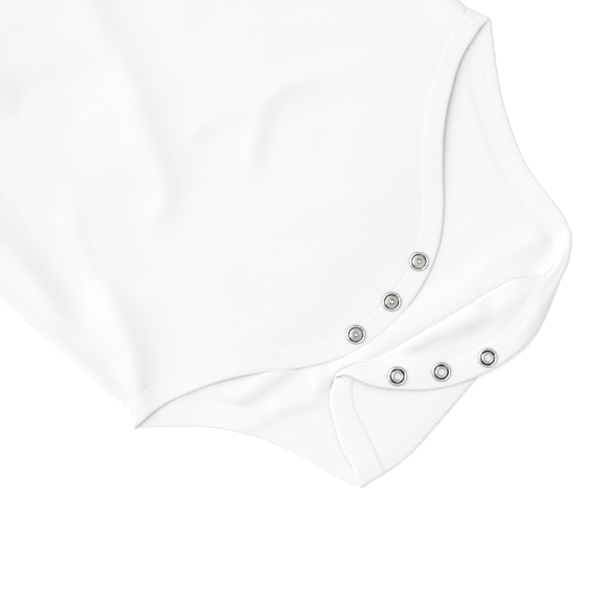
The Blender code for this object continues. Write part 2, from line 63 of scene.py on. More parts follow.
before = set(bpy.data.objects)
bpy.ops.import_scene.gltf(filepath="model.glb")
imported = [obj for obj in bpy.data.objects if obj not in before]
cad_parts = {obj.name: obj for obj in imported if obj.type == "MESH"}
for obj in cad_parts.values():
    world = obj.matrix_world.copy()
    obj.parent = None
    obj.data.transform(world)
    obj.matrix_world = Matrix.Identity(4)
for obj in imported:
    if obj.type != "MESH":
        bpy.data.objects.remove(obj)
CAD_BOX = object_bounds()

MM = 0.001
BODY = "root"


def table(row_kind, *rows):
    """Rows of values in the named columns of their kind."""
    return tuple(row_kind(*row) for row in rows)


# --- sizes of the cut and of the lie ---

HIP_LINE_Y = -102.2  # the hip line's place, with the origin at the middle of the whole outline
SEAM_LEAN = 0.28  # how much the side seam leans in above the leg band, to one up
SEAM_REACH = 22.0  # how far from the side seam a leg band's rows lean with it

BODY_HALF = 122.0  # half the width from the underarm to the hip
HIP_HALF = 124.5  # half the width on the leg bands
HIP_SPREAD = (-14.0, 16.0)  # heights over the hip line between which the side spreads to that
HIP_GRID_TOP = 20.0  # height over the hip line where a panel's rows start to spread
UNDERARM = 178.0  # height of the underarm above the hip line
NECK_HALF, NECK_Y = 64.0, 310.0  # where the shoulder seam meets the neckband
FRONT_NECK_DROP, BACK_NECK_DROP = 48.0, 13.0
NECK_FOLD_LEAN = math.radians(62)  # lean from upright of the neckband's fold at the shoulder

# The armhole from the underarm up to the shoulder seam
ArmholePlace = namedtuple("ArmholePlace", "in_from_side over_underarm")
ARMHOLE = table(
    ArmholePlace,
    (0.0, 0.0), (12.0, 9.0), (20.5, 32.0), (23.5, 72.0), (23.0, 112.0),
)
SHOULDER_X = BODY_HALF - ARMHOLE[-1].in_from_side
SHOULDER_Y = UNDERARM + ARMHOLE[-1].over_underarm

SLEEVE_TOP = 96.0  # length along the folded top edge
SLEEVE_FALL = math.radians(27)  # how far the top edge falls away from level
CUFF_HALF_ROUND = 84.0  # half the way round the cuff
CUFF_TILT = math.radians(24)  # the cuff's lean from upright
SLEEVE_PUFF = 1.4  # how much the upper wall stands up in its middle
SLEEVE_PUFF_RISE = 0.4  # share of the sleeve's length over which it rises from the armhole
SLEEVE_WIDENS = 10.0  # how much wider than at the cuff the knit is laid out
FOLD_CLOTH = 4.0  # cloth that goes round one fold of the sleeve
HEM_EXTRA = 0.8  # share of the wall that the turned-up hem adds

PANEL_MIDDLE = 0.55  # middle of a panel's cloth over the surface that it lies on
BAND_MIDDLE = 0.72  # the same for a band that lies on the surface
FRONT_BAND_MIDDLE = 0.5  # the same for the front's, whose outer face lies nearly flush with the panel
UPPER_LAYER = 1.4  # how far the front's cloth lies over the back's at a side seam
FRONT_LIFT = 2.4  # underside of the front over the surface, away from its side seams
SIDE_ROUND = 15.0  # how far in from the side seam the front's creases run out
SIDE_RISE = 40.0  # how far in from the side seam the front reaches its full height
SIDE_ROLL, SIDE_ROLL_RUN = 1.9, 8.0  # how high the seam allowance holds the side up, and how far in
FATTEST_ROLL = 1.0  # how far out a rolled side stands at most
NECK_ROUND = 18.0  # how far down from the neckband it has its full relief
PUFF = 1.2  # how much the front stands up in its middle
LOWEST_RELIEF = -0.9  # a dip never sinks the front further than this, so it clears the back
FRONT_SHIFT = -4.3  # the front's legs and tongue lie this far to one side
FRONT_BELOW, BACK_BELOW = 60.0, 172.0  # flat length of each panel below the hip line
SEAM_GROOVE, SEAM_GROOVE_RUN = 0.4, 1.1  # depth of the groove along a side seam, and how far it runs
UNEVENNESS = 0.15  # height of the slight waves in the front
GAP = 0.3  # between pieces that are sewn together

# Where the lie changes: the place at which it starts, and over how much
Change = namedtuple("Change", "start run")
SIDES_DOWN = Change(8.0, 20.0)  # going up from the hip line, the sides come down onto the back
TONGUE_RISE = Change(-42.0, 30.0)  # going up, the tongue's relief starts; it is flat at its snaps
UNDERARM_DOWN = Change(UNDERARM - 50.0, 40.0)  # going up, the rolled side goes flat
SHOULDER_DOWN = Change(SHOULDER_Y - 14.0, 12.0)  # going up, the shoulder comes down onto the back
SHIFT_DOWN = Change(-16.0, 20.0)  # going down past the hip line, the front shifts to one side
HIPS_FLAT = Change(0.0, 20.0)  # going up from the hip line, the back's creases run out
HEM_STEP = Change(SLEEVE_TOP - 12.0, 1.5)  # going out along the sleeve, the turned-up hem starts

# In from an edge, where creases start: at the leg openings, at the flap, and on the flap itself
OFF_LEG, OFF_FLAP, ON_FLAP = Change(7.0, 9.0), Change(1.0, 8.0), Change(7.0, 15.0)
# Where a sleeve's creases start past the armhole and, counted backwards, past the hem
OFF_ARMHOLE, OFF_HEM = Change(0.0, 0.1), Change(-0.88, 0.15)  # shares of its length
OFF_SLEEVE_FOLDS = 0.12  # share of the way round over which they run out at both folds

# The front comes down onto the back over this distance from its leg edge. It does so on the tongue,
# and on both legs it stands off the back, with a share of that drop.
Curl = namedtuple("Curl", "drop run")
EDGE_CURL = Curl(0.8, 30.0)
LEG_DROP = 0.4
RIGHT_LEG, LEFT_LEG = Change(25.0, 45.0), Change(60.0, 40.0)  # going outwards from the middle

Place = namedtuple("Place", "across down")

# The leg and crotch edge as cut, from the side seam to the middle of the tongue or flap
FRONT_EDGE = table(
    Place,
    (123.5, 0.0), (107.5, 2.8), (91.5, 9.8), (77.0, 18.4), (62.5, 30.2), (49.5, 42.0),
    (35.0, 51.8), (18.0, 57.8), (0.0, 59.8),
)
BACK_EDGE = table(
    Place,
    (126.5, 1.0), (104.2, 27.0), (93.0, 48.5), (83.5, 79.5), (77.0, 105.0), (69.0, 125.0),
    (55.0, 145.0), (42.0, 156.0), (23.0, 164.5), (0.0, 168.2),
)

# The pleat in the back flap. Both creases run to one apex beyond the right edge of the flap.
APEX = Place(94.0, 105.6)
PLEAT_ANGLE = math.radians(19.0)
FOLD_RADIUS = 1.1
OVERHANG_DROP = 2.8  # how far the top layer sinks where nothing lies under it
OVERHANG_DOWN = Change(2.0, 8.0)  # below the apex, where it sinks
OVERHANG_ACROSS = Change(8.0, 36.0)  # from the middle to the right, where it sinks
OPEN_PLEAT = Change(34.0, 26.0)  # from the apex, where the pleat goes from a soft wave to a fold
EASE = 14.0  # cloth on each side of the soft wave that it runs out over
WAVE = 1.0  # height of the soft wave
CREASE_EASE = 10.0  # how far from the upper crease the layers reach their full height
HEM_EASE = 8.0  # how far from the lower crease the two lower layers do
TOP_EASE = 30.0  # how far from the lower crease the top layer does

# The cloth banks up before the fold that lies on it: a low bank all along, and more beside the flap
Bank = namedtuple("Bank", "height run tuck")
LOW_BANK, FLAP_BANK = Bank(0.7, 9.0, 3.0), Bank(1.0, 5.5, 1.6)
FLAP_BANK_START, FLAP_BANK_END = Change(-56.0, 14.0), Change(22.0, 34.0)  # from left to right
BANK_CREST = 1.0  # how far before the upper crease the banks are highest
UPPER_EASE, TIP_EASE = 0.52, 0.36  # share of the layers' height at the upper crease; more at the tip
AT_TIP = Change(30.0, 12.0)  # from the middle to the left, where it gets to be more
LOWER_EASE, LOWER_GAIN = 0.7, 0.3  # the share at the lower crease, and what is gained away from it
FLAP_TIP = Place(-39.0, 66.0)
TIP_RISE, TIP_REACH = 1.0, 8.0  # how far the flap stands off the band under its tip, and how far round
PRESSED = 0.8  # share of the folds' full height that is left under the cloth's own weight

# Local shifts of the lie, such as where the bands pull the cloth in at the ends of a crease
Nudge = namedtuple("Nudge", "across down reach move_across move_down")
NUDGES = table(
    Nudge,
    (79.0, 106.0, 14.0, -4.0, -5.5), (-79.0, 106.0, 16.0, -3.5, -7.5),
    (88.0, 62.0, 26.0, -3.6, 0.0), (-66.0, 78.0, 15.0, -6.5, 0.0), (-52.0, 58.0, 14.0, -5.0, -1.0),
    (-44.6, 71.3, 12.0, -4.0, -4.6), (-45.0, 63.0, 9.0, 1.8, -1.5), (-30.0, 76.0, 10.0, 2.5, 2.5),
    (50.0, 112.0, 16.0, -2.0, -2.2), (-49.5, 57.0, 4.5, 2.0, 1.2), (-42.0, 67.0, 6.5, 2.3, -2.1),
)

# Creases, listed one by one. The cloth stands up in a ridge to the left of the places (x, y) as one goes
# along them. It falls away across them, and comes back slowly on their right. The steepest slope is the
# depth over the width.
Crease = namedtuple("Crease", "places width depth")
FRONT_CREASES = table(
    Crease,
    (((-64, 43), (-54.6, 50), (-46, 53), (-36.7, 54.5), (-30, 60), (-25, 67), (-20, 75),
     (-14, 86), (-6, 98), (2, 112), (7, 126), (13, 140.6), (19, 152), (30, 176)), 6.2, 1.35),
    (((-128, -12), (-108, 11), (-97, 23), (-90, 36), (-84, 50), (-76, 68), (-65, 86), (-48, 104)),
     6.0, 1.55),
    (((-112, 42), (-106, 60), (-102.6, 73), (-98.3, 91), (-96, 112), (-91, 138), (-84, 168)), 9.0,
     3.2),
    (((-124, 0), (-110, 9), (-97, 17), (-90, 28), (-84, 42), (-78, 58)), 8.0, 0.7),
    (((-8, 33), (1.4, 36.5), (16, 44), (27.6, 48.6), (36, 48), (45, 43.7), (51, 37), (56, 28),
     (61, 14)), 4.6, 0.95),
    (((-16, 71), (-8.8, 66.3), (4.7, 64), (18.4, 55), (34, 49)), 4.4, 0.6),
    (((30, 30), (44, 15), (52, 6)), 3.6, 0.25),
    (((-58, 112), (-50, 137), (-43, 157), (-34, 178)), 5.6, 1.1),
    (((-121, 50), (-117.6, 45.7), (-111.8, 33), (-108, 24)), 3.0, 0.5),
    (((44, 120), (58, 152), (70, 178), (88, 212)), 5.8, 1.2),
    (((84, 70), (86, 104), (93, 130), (100, 164)), 5.0, 1.0),
    (((-98, 190), (-82, 216), (-70, 240), (-58, 268)), 5.6, 1.15),
    (((18, 222), (42, 238), (72, 255)), 5.0, 0.8),
    (((-38, 208), (-18, 226), (8, 235)), 5.4, 0.8),
    (((74, 206), (78, 240), (88, 268)), 4.6, 0.8),
    (((-86, 92), (-78, 128), (-64, 160)), 9.0, 0.6),
    (((14, -26), (40, 2), (62, 16)), 9.0, 0.3),
)

# The same on the back's leg openings, with its lie as x and y, and on the folded flap
BACK_LIFT = 0.6  # how far the back stands off the surface beside its creases
BACK_CREASES = table(
    Crease,
    (((-98, -7), (-94, -14), (-92, -21), (-88, -30)), 3.4, 0.6),
    (((-94, -28), (-87, -31), (-80, -34), (-73, -36), (-65, -38), (-52, -40)), 4.8, 2.0),
    (((-87, -43), (-80, -49), (-73, -55), (-66, -61), (-58, -68)), 5.2, 2.6),
    (((-34, -58), (3, -70), (25, -78), (40, -81), (55, -87), (67, -93), (84, -101)), 5.0, 1.2),
    (((82, -62), (92, -34), (102, -8)), 7.0, 0.4),
    (((20, -60), (44, -64), (66, -72)), 6.0, 0.3),
)
FLAP_LIFT, FLAP_DIP = 1.2, -0.4  # how far the flap stands up beside its creases, and its lowest
FLAP_SOFT = 0.35  # how far above its lowest it goes over into the crease
FLAP_CREASES = table(
    Crease,
    (((-25, -70), (-14.5, -75.5), (-4.5, -79.6), (6.7, -85.4), (16, -89.8), (25, -94)), 4.6, 2.7),
)
DIP_RUN = 2.2  # of the crease's width, over which the dip on its right comes back
CREASE_ENDS = 0.22  # share of a crease's length over which it runs in and out
CREASE_START, CREASE_WIDENS = 0.8, 0.4  # share of its width at its start, and what its end has more

# On the sleeves' upper walls: from the seam at the armhole towards the hem
SLEEVE_CREASES = {
    1: table(
        Crease,
        (((104, 206), (122, 204), (142, 208), (164, 220)), 3.0, 0.6),
        (((103, 236), (120, 240), (140, 247)), 3.4, 0.5),
        (((114, 262), (128, 256), (150, 250)), 3.0, 0.45),
    ),
    -1: table(
        Crease,
        (((-160, 196), (-138, 198), (-118, 202), (-103, 214)), 3.2, 0.6),
        (((-156, 232), (-132, 232), (-108, 228)), 3.0, 0.5),
        (((-142, 262), (-124, 260), (-104, 250)), 3.2, 0.45),
    ),
}


# --- properties ---


def linear(sheen):
    """A colour given as an sRGB hex value, such as "f2f2f0", in linear light."""
    parts = [int(sheen[i : i + 2], 16) / 255 for i in (0, 2, 4)]
    return tuple(p / 12.92 if p <= 0.04045 else ((p + 0.055) / 1.055) ** 2.4 for p in parts)


def length(name, description, default):
    """A property that holds a length, with its default given in millimetres."""
    return bpy.props.FloatProperty(
        name=name, description=description, default=default * MM, min=0.0, unit="LENGTH", precision=5
    )


def colour(name, description, default):
    """A property that holds a colour, with its default given as an sRGB hex value."""
    return bpy.props.FloatVectorProperty(
        name=name, description=description, default=linear(default), min=0, max=1, subtype="COLOR"
    )


def share(name, description, default, most=1.0):
    """A property that holds a plain number."""
    return bpy.props.FloatProperty(
        name=name, description=description, default=default, min=0.0, max=most, subtype="FACTOR"
    )


class BodysuitCloth(bpy.types.PropertyGroup):
    """Sizes and colours of the jersey and the rib."""

    jersey_wall: length("Jersey", "Thickness of the jersey", 0.8)
    band_wall: length("Band", "Thickness of a band, with its folded rib and the panel's edge", 1.25)
    leg_band: length("Leg Band", "Width of the bands round the legs and the crotch", 11.0)
    neck_band: length("Neckband", "Width of the neckband", 13.0)
    wale: length("Wale", "Distance between the jersey's knit ribs, drawn coarser than the real one", 1.3)
    rib: length("Rib", "Distance between the ribs of the bands", 1.6)
    crease: share("Creases", "How deep the creases are, to one as modelled", 1.0, 2.0)
    jersey_colour: colour("Jersey Colour", "Colour of the jersey", "e9e9e9")
    rib_colour: colour("Rib Colour", "Colour of the rib", "e9e9e9")


class BodysuitSewing(bpy.types.PropertyGroup):
    """Sizes and colour of the visible stitches."""

    stitch: length("Stitch", "Length of one stitch", 2.4)
    thread: length("Thread", "Thickness of the thread", 0.28)
    outer_row: length("Outer Row", "Distance of the outer row from a band's or hem's edge", 5.5)
    inner_row: length("Inner Row", "Distance of the inner row from a band's or hem's edge", 8.6)
    thread_colour: colour("Thread Colour", "Colour of the thread", "f2f2f2")


class BodysuitSnaps(bpy.types.PropertyGroup):
    """Sizes and colour of the snaps."""

    diameter: length("Diameter", "Diameter of a snap half", 9.0)
    metal_colour: colour("Metal Colour", "Colour of the snaps' nickel plate", "e6e5e2")


class BodysuitStage(bpy.types.PropertyGroup):
    """The floor, the light and the camera."""

    floor_colour: colour("Floor Colour", "Colour of the floor", "ffffff")
    room_light: share("Room Light", "Strength of the even light from above", 0.9, 5.0)
    softbox: share("Softbox", "Strength of the far soft lamp, in watts for a square metre", 1.7, 20.0)
    lens: bpy.props.FloatProperty(
        name="Lens", description="Focal length", default=100.0, min=1.0, unit="CAMERA"
    )
    view_width: length("View Width", "Width of what the camera sees at the garment", 282.0)


# --- curves and grids ---

EDGE_SAMPLES, CREASE_SAMPLES = 1201, 60  # points on a leg edge from side to side, and on a crease


def blend(t, start, stop, first, last):
    """From first to last as t goes from start to stop."""
    return (stop - t) / (stop - start) * first + (t - start) / (stop - start) * last


def smooth_through(places, samples, per_piece=60):
    """Evenly spaced points on a centripetal Catmull-Rom curve through the places."""
    knots = np.array(places, float)
    knots = np.vstack([2 * knots[0] - knots[1], knots, 2 * knots[-1] - knots[-2]])
    pieces = []
    for a, b, c, d in zip(knots, knots[1:], knots[2:], knots[3:]):
        t0 = 0.0
        t1 = t0 + math.dist(a, b) ** 0.5
        t2 = t1 + math.dist(b, c) ** 0.5
        t3 = t2 + math.dist(c, d) ** 0.5
        t = np.linspace(t1, t2, per_piece, endpoint=False)[:, None]
        ab, bc, cd = blend(t, t0, t1, a, b), blend(t, t1, t2, b, c), blend(t, t2, t3, c, d)
        abc, bcd = blend(t, t0, t2, ab, bc), blend(t, t1, t3, bc, cd)
        pieces.append(blend(t, t1, t2, abc, bcd))
    return evenly(np.vstack([*pieces, knots[-2]]), samples)


def lengths_along(curve):
    steps = np.linalg.norm(np.diff(curve, axis=0), axis=1)
    return np.concatenate([[0.0], np.cumsum(steps)])


def read_at(curve, positions, wanted):
    """The curve's points where the rising positions reach the wanted values."""
    return np.stack([np.interp(wanted, positions, axis) for axis in curve.T], axis=-1)


def evenly(curve, count):
    along = lengths_along(curve)
    return read_at(curve, along, np.linspace(0, along[-1], count))


def smoothstep(value):
    value = np.clip(value, 0.0, 1.0)
    return value * value * (3 - 2 * value)


def past(change, value):
    """0 up to the change's start, 1 from its end on, and smooth between."""
    return smoothstep((value - change.start) / change.run)


def hump(off, run):
    """A smooth hump: 1 in its middle, and 0.37 at the run away from it."""
    return np.exp(-((off / run) ** 2))


def unit(vectors):
    return vectors / np.maximum(np.linalg.norm(vectors, axis=-1, keepdims=True), 1e-9)


def whole_edge(half_edge):
    """The edge from the left side seam, round the end, to the right side seam."""
    left = [(-place.across, place.down) for place in half_edge]
    return smooth_through(left + list(half_edge[::-1][1:]), EDGE_SAMPLES)


def inset(edge, depth):
    """The edge moved into the cloth; at the side seams it slides up along the seam instead."""
    tangent = unit(np.gradient(edge, axis=0))
    inward = np.stack([tangent[:, 1], -tangent[:, 0]], axis=1)
    along = lengths_along(edge)
    from_side = np.minimum(along, along[-1] - along)
    blend = 1 - smoothstep(from_side / SEAM_REACH)[:, None]
    seam_way = np.stack([-SEAM_LEAN * np.sign(edge[:, 0]), -np.ones(len(edge))], axis=1)
    way = (1 - blend) * inward + blend * seam_way
    way /= np.sum(way * inward, axis=1)[:, None]
    return edge + depth * way


def spread(columns, closer):
    """Shares from -1 to 1 that stand closer together at both ends."""
    even = np.linspace(-1, 1, columns + 1)
    return even + closer * np.sin(math.pi * even) / math.pi


def patch(first, last, left, right, shares):
    """A grid that fills four edges: rows run from left to right, from the first to the last."""
    g = np.linspace(0, 1, len(left))[:, None, None]
    c = ((shares + 1) / 2)[None, :, None]
    across = (1 - c) * left[:, None] + c * right[:, None]
    along = (1 - g) * first[None] + g * last[None]
    first_corners, last_corners = (1 - c) * first[0] + c * first[-1], (1 - c) * last[0] + c * last[-1]
    return across + along - ((1 - g) * first_corners + g * last_corners)


def nearness(points, line):
    """The distance of each point of a grid, seen from above, to the nearest point of a line."""
    tree = KDTree(len(line))
    for i, place in enumerate(line):
        tree.insert((place[0], place[1], 0.0), i)
    tree.balance()
    flat = points[..., :2].reshape(-1, 2)
    found = [tree.find((x, y, 0.0))[2] for x, y in flat]
    return np.array(found).reshape(points.shape[:-1])


# --- the pleat ---

BEND = math.pi * FOLD_RADIUS  # cloth used up by one crease
PLAIN = 10.0  # unit of the way before and after the pleat
BANK_END = Change(-3.0, 3.0)  # towards the lower crease, where the banks run out
BANK_START = Change(BEND, 8.0)  # by the cloth that the pleat takes up, where they start


def round_apex(points):
    """The distance of flat places from the apex, and their turn round it."""
    dx, dy = APEX.across - points[..., 0], points[..., 1] - APEX.down
    return np.hypot(dx, dy), np.arctan2(dy, dx)


def at_turn(radius, turn):
    """The flat place at this distance from the apex and this turn round it, as across and down."""
    return APEX.across - radius * np.cos(turn), APEX.down + radius * np.sin(turn)


def fold_way(points):
    """How far each flat place is through the pleat: 0-1 lower crease, 1-2 between, 2-3 upper."""
    radius, turn = round_apex(points)
    way = radius * turn + FOLD_RADIUS
    between = radius * PLEAT_ANGLE - BEND
    upper = way - radius * PLEAT_ANGLE
    return np.select(
        [way < 0, way < BEND, upper < 0, upper < BEND],
        [way / PLAIN, way / BEND, 1 + (way - BEND) / between, 2 + upper / BEND],
        3 + (upper - BEND) / PLAIN,
    )


def place_on_fold(way, radius):
    """The flat place that lies at this way through the pleat, at this distance from the apex."""
    between = radius * PLEAT_ANGLE - BEND
    arc = np.select(
        [way <= 1, way <= 2],
        [way * BEND, BEND + (way - 1) * between],
        radius * PLEAT_ANGLE + (way - 2) * BEND,
    )
    return np.stack(at_turn(radius, (arc - FOLD_RADIUS) / radius), axis=-1)


def fold(points):
    """Lays flat places of the back down with the pleat in: across, down and height."""
    radius, turn = round_apex(points)
    way = radius * turn + FOLD_RADIUS
    spent = radius * PLEAT_ANGLE
    upper = way - spent
    lower_bend = np.clip(way / BEND, 0, 1) * math.pi
    upper_bend = np.clip(upper / BEND, 0, 1) * math.pi
    before = np.minimum(way, 0.0)
    between = np.clip(way - BEND, 0.0, np.maximum(spent - BEND, 0.0))
    after = np.maximum(upper - BEND, 0.0)
    bends = np.sin(lower_bend) - np.sin(upper_bend) - 1
    level = before + FOLD_RADIUS * bends - between + after
    height = FOLD_RADIUS * (2 - np.cos(lower_bend) - np.cos(upper_bend))
    top_layer = smoothstep(2 * way / np.maximum(spent + BEND, BEND) - 1)
    upper_crease = -2 * FOLD_RADIUS - np.maximum(spent - BEND, 0.0)
    height = height * eased_height(level, upper_crease, points[..., 0], top_layer)
    off_fold = before - upper_crease + BANK_CREST
    beside_flap = past(FLAP_BANK_START, points[..., 0]) * (1 - past(FLAP_BANK_END, points[..., 0]))
    bank = banked(off_fold, LOW_BANK) + banked(off_fold, FLAP_BANK) * beside_flap
    under_none = (1 - past(BANK_END, way)) * past(BANK_START, spent)
    height = height + bank * under_none

    ease = np.clip((way + EASE) / (spent + BEND + 2 * EASE), 0, 1)
    open_share = 1 - past(OPEN_PLEAT, radius)
    wave = WAVE * (4 * ease * (1 - ease)) ** 2
    soft = way - FOLD_RADIUS - 2 * spent * smoothstep(ease)
    level = (1 - open_share) * level + open_share * soft
    height = (1 - open_share**2) * height + open_share * wave
    across, down = at_turn(radius, level / radius)
    beyond = past(OVERHANG_DOWN, down - APEX.down) * past(OVERHANG_ACROSS, across)
    off_tip = np.hypot(across - FLAP_TIP.across, down - FLAP_TIP.down)
    rise = TIP_RISE * hump(off_tip, TIP_REACH)
    height = height + (rise - OVERHANG_DROP * beyond) * top_layer
    return np.stack([across, down, height], axis=-1)


def banked(off, bank):
    """Height of a bank at a distance past its crest."""
    return bank.height * hump(off, np.where(off < 0, bank.run, bank.tuck))


def eased_height(level, upper_crease, across, top_layer):
    """Share of the folded layers' height: they lie closer together beside both creases."""
    lowest = UPPER_EASE + TIP_EASE * past(AT_TIP, -across)
    off_upper = smoothstep((level - upper_crease) / CREASE_EASE)
    off_lower = smoothstep(-level / (HEM_EASE + (TOP_EASE - HEM_EASE) * top_layer))
    return PRESSED * (lowest + (1 - lowest) * off_upper) * (LOWER_EASE + LOWER_GAIN * off_lower)


def nudged(laid):
    """The lie with its local shifts; all layers at one place move together."""
    moved = laid.copy()
    for nudge in NUDGES:
        off_across, off_down = laid[..., 0] - nudge.across, laid[..., 1] - nudge.down
        near = np.exp(-(off_across**2 + off_down**2) / nudge.reach**2)
        moved[..., 0] += nudge.move_across * near
        moved[..., 1] += nudge.move_down * near
    return moved


# --- the lie ---


def armhole_edge(samples=80):
    """The armhole at +X from the underarm to the shoulder, as x and y."""
    places = [(BODY_HALF - place.in_from_side, UNDERARM + place.over_underarm) for place in ARMHOLE]
    return smooth_through(places, samples)


def half_width(y):
    """Half the body's width at a height over the hip line."""
    armhole = armhole_edge()
    body = np.interp(y, HIP_SPREAD, (HIP_HALF, BODY_HALF))
    above = np.interp(y, armhole[:, 1], armhole[:, 0])
    return np.where(y > UNDERARM, above, body)


def creased(x, y, creases):
    """Height that the creases give each place over the plain lie."""
    height = np.zeros(np.shape(x))
    for crease in creases:
        path = smooth_through(crease.places, CREASE_SAMPLES)
        way = unit(np.gradient(path, axis=0))
        nearest = np.argmin(np.hypot(x[..., None] - path[:, 0], y[..., None] - path[:, 1]), axis=-1)
        off_x, off_y = x - path[nearest, 0], y - path[nearest, 1]
        ahead = off_x * way[nearest, 0] + off_y * way[nearest, 1]
        aside = off_y * way[nearest, 0] - off_x * way[nearest, 1]
        position = nearest / (len(path) - 1) + ahead / lengths_along(path)[-1]
        ends = smoothstep(position / CREASE_ENDS) * smoothstep((1 - position) / CREASE_ENDS)
        left = aside / (crease.width * (CREASE_START + CREASE_WIDENS * smoothstep(position)))
        ridge = left * np.exp(-(left**2) / 2)
        dip = left * np.exp(np.minimum(left, 0.0) / DIP_RUN)
        height = height + crease.depth * ends * np.where(left > 0, ridge, dip)
    return height


def unevenness(x, y):
    """Slight waves that cloth keeps when it is laid out by hand, about 1 at most."""
    first = np.sin(x / 11.3 + 1.9 * np.sin(y / 31.0)) * np.sin(y / 17.1 + 1.3 * np.sin(x / 23.0))
    second = np.sin(x / 5.9 + y / 9.7 + 2.1 * np.sin(y / 19.0 - x / 41.0))
    return 0.7 * first + 0.3 * second


def lay_front(points, middle, crease_depth):
    """The middle of the front's cloth over flat places."""
    x = points[..., 0] + FRONT_SHIFT * past(SHIFT_DOWN, points[..., 1])
    y = -points[..., 1]
    off_side = half_width(y) - np.abs(points[..., 0])
    sides_down, shoulder_down = past(SIDES_DOWN, y), past(SHOULDER_DOWN, y)
    at_edge = np.maximum(1 - smoothstep(off_side / SIDE_ROUND), shoulder_down)
    low = np.maximum(1 - smoothstep(off_side / SIDE_RISE), shoulder_down)
    plain = FRONT_LIFT + (UPPER_LAYER - FRONT_LIFT) * low * sides_down
    rolled = hump(off_side, SIDE_ROLL_RUN) * sides_down * (1 - past(UNDERARM_DOWN, y))
    off_neck = FRONT_NECK_DROP * (np.hypot(x / NECK_HALF, (NECK_Y - y) / FRONT_NECK_DROP) - 1)
    free = past(TONGUE_RISE, y) * smoothstep(off_neck / NECK_ROUND)
    creases = crease_depth * creased(x, y, FRONT_CREASES) + UNEVENNESS * unevenness(x, y)
    relief = (PUFF * (1 - low) + creases * (1 - at_edge)) * free
    height = plain + SIDE_ROLL * rolled + np.maximum(relief, LOWEST_RELIEF)
    curl = 1 - smoothstep(nearness(points, FRONT_OUTLINE) / EDGE_CURL.run)
    on_leg = np.maximum(past(RIGHT_LEG, x), past(LEFT_LEG, -x))
    drop = EDGE_CURL.drop * (1 - (1 - LEG_DROP) * on_leg)
    return np.stack([x, y, height - drop * curl + middle], axis=-1)


def lay_back(points, middle, crease_depth):
    """The middle of the back's cloth over flat places."""
    laid = nudged(fold(points))
    way = fold_way(points)
    x, y, height = laid[..., 0], -laid[..., 1], laid[..., 2]
    flat = laid * (1, 1, 0)
    off_leg, off_flap = nearness(flat, LAID_LEG_EDGES), nearness(flat, LAID_FLAP_EDGE)
    inside = past(OFF_LEG, off_leg) * past(OFF_FLAP, off_flap)
    lift = np.maximum(BACK_LIFT + crease_depth * creased(x, y, BACK_CREASES), 0.0)
    on_legs = (1 - past(HIPS_FLAT, y)) * (1 - smoothstep(way))
    on_flap = smoothstep(way - 2) * past(ON_FLAP, off_flap)
    flap = FLAP_LIFT + crease_depth * creased(x, y, FLAP_CREASES)
    flap = FLAP_DIP + FLAP_SOFT * np.logaddexp(0.0, (flap - FLAP_DIP) / FLAP_SOFT)
    return np.stack([x, y, height + lift * on_legs * inside + flap * on_flap + middle], axis=-1)


# --- flat places of the panels ---

FRONT_OUTLINE = whole_edge(FRONT_EDGE)
BACK_OUTLINE = whole_edge(BACK_EDGE)
BACK_LAID_EDGE = nudged(fold(BACK_OUTLINE))
LAID_LEG_EDGES = BACK_LAID_EDGE[fold_way(BACK_OUTLINE) < 0.5]
LAID_FLAP_EDGE = BACK_LAID_EDGE[fold_way(BACK_OUTLINE) > 0.5]
FRONT_CORNERS = (44.0, 44.0)  # from the middle of the edge to the corners of a panel's grid
BACK_CORNERS = (30.0, 48.0)
BODY_ROWS, ARMHOLE_ROWS = 76, 50
FRONT_LEG_ROWS, BACK_LEG_ROWS, FLAP_ROWS = 40, 48, 24
FRONT_SHARES, BACK_SHARES = spread(140, 0.5), spread(110, 0.3)
NECK_SHARE = 0.64  # of a panel's columns, those that end on the neck edge
BEND_STEPS, BETWEEN_STEPS = 12, 14


def top_edge(shares, neck_drop):
    """A panel's top from the left shoulder, round the neck, to the right shoulder."""
    turn = np.clip(shares / NECK_SHARE, -1, 1) * math.pi / 2
    out = np.clip((np.abs(shares) - NECK_SHARE) / (1 - NECK_SHARE), 0, 1)
    x = NECK_HALF * np.sin(turn) + np.sign(shares) * out * (SHOULDER_X - NECK_HALF)
    y = NECK_Y - neck_drop * np.cos(turn) - out * (NECK_Y - SHOULDER_Y)
    return np.stack([x, -y], axis=1)


def level_row(half, down, shares):
    return np.stack([half * shares, np.full(len(shares), down)], axis=1)


def upper_grid(shares, neck_drop, hip):
    """Flat places from the shoulders down to the hip row, which ends at the place hip."""
    side = evenly(armhole_edge(), ARMHOLE_ROWS + 1)[::-1] * (1, -1)
    top, bottom = top_edge(shares, neck_drop), level_row(BODY_HALF, -UNDERARM, shares)
    yoke = patch(top, bottom, side * (-1, 1), side, shares)
    downs = np.linspace(-UNDERARM, hip.down, BODY_ROWS + 1)
    halves = np.interp(downs, (-HIP_GRID_TOP, hip.down), (BODY_HALF, hip.across))
    body = [level_row(half, down, shares) for half, down in zip(halves, downs)]
    return np.concatenate([yoke, np.array(body)[1:]])


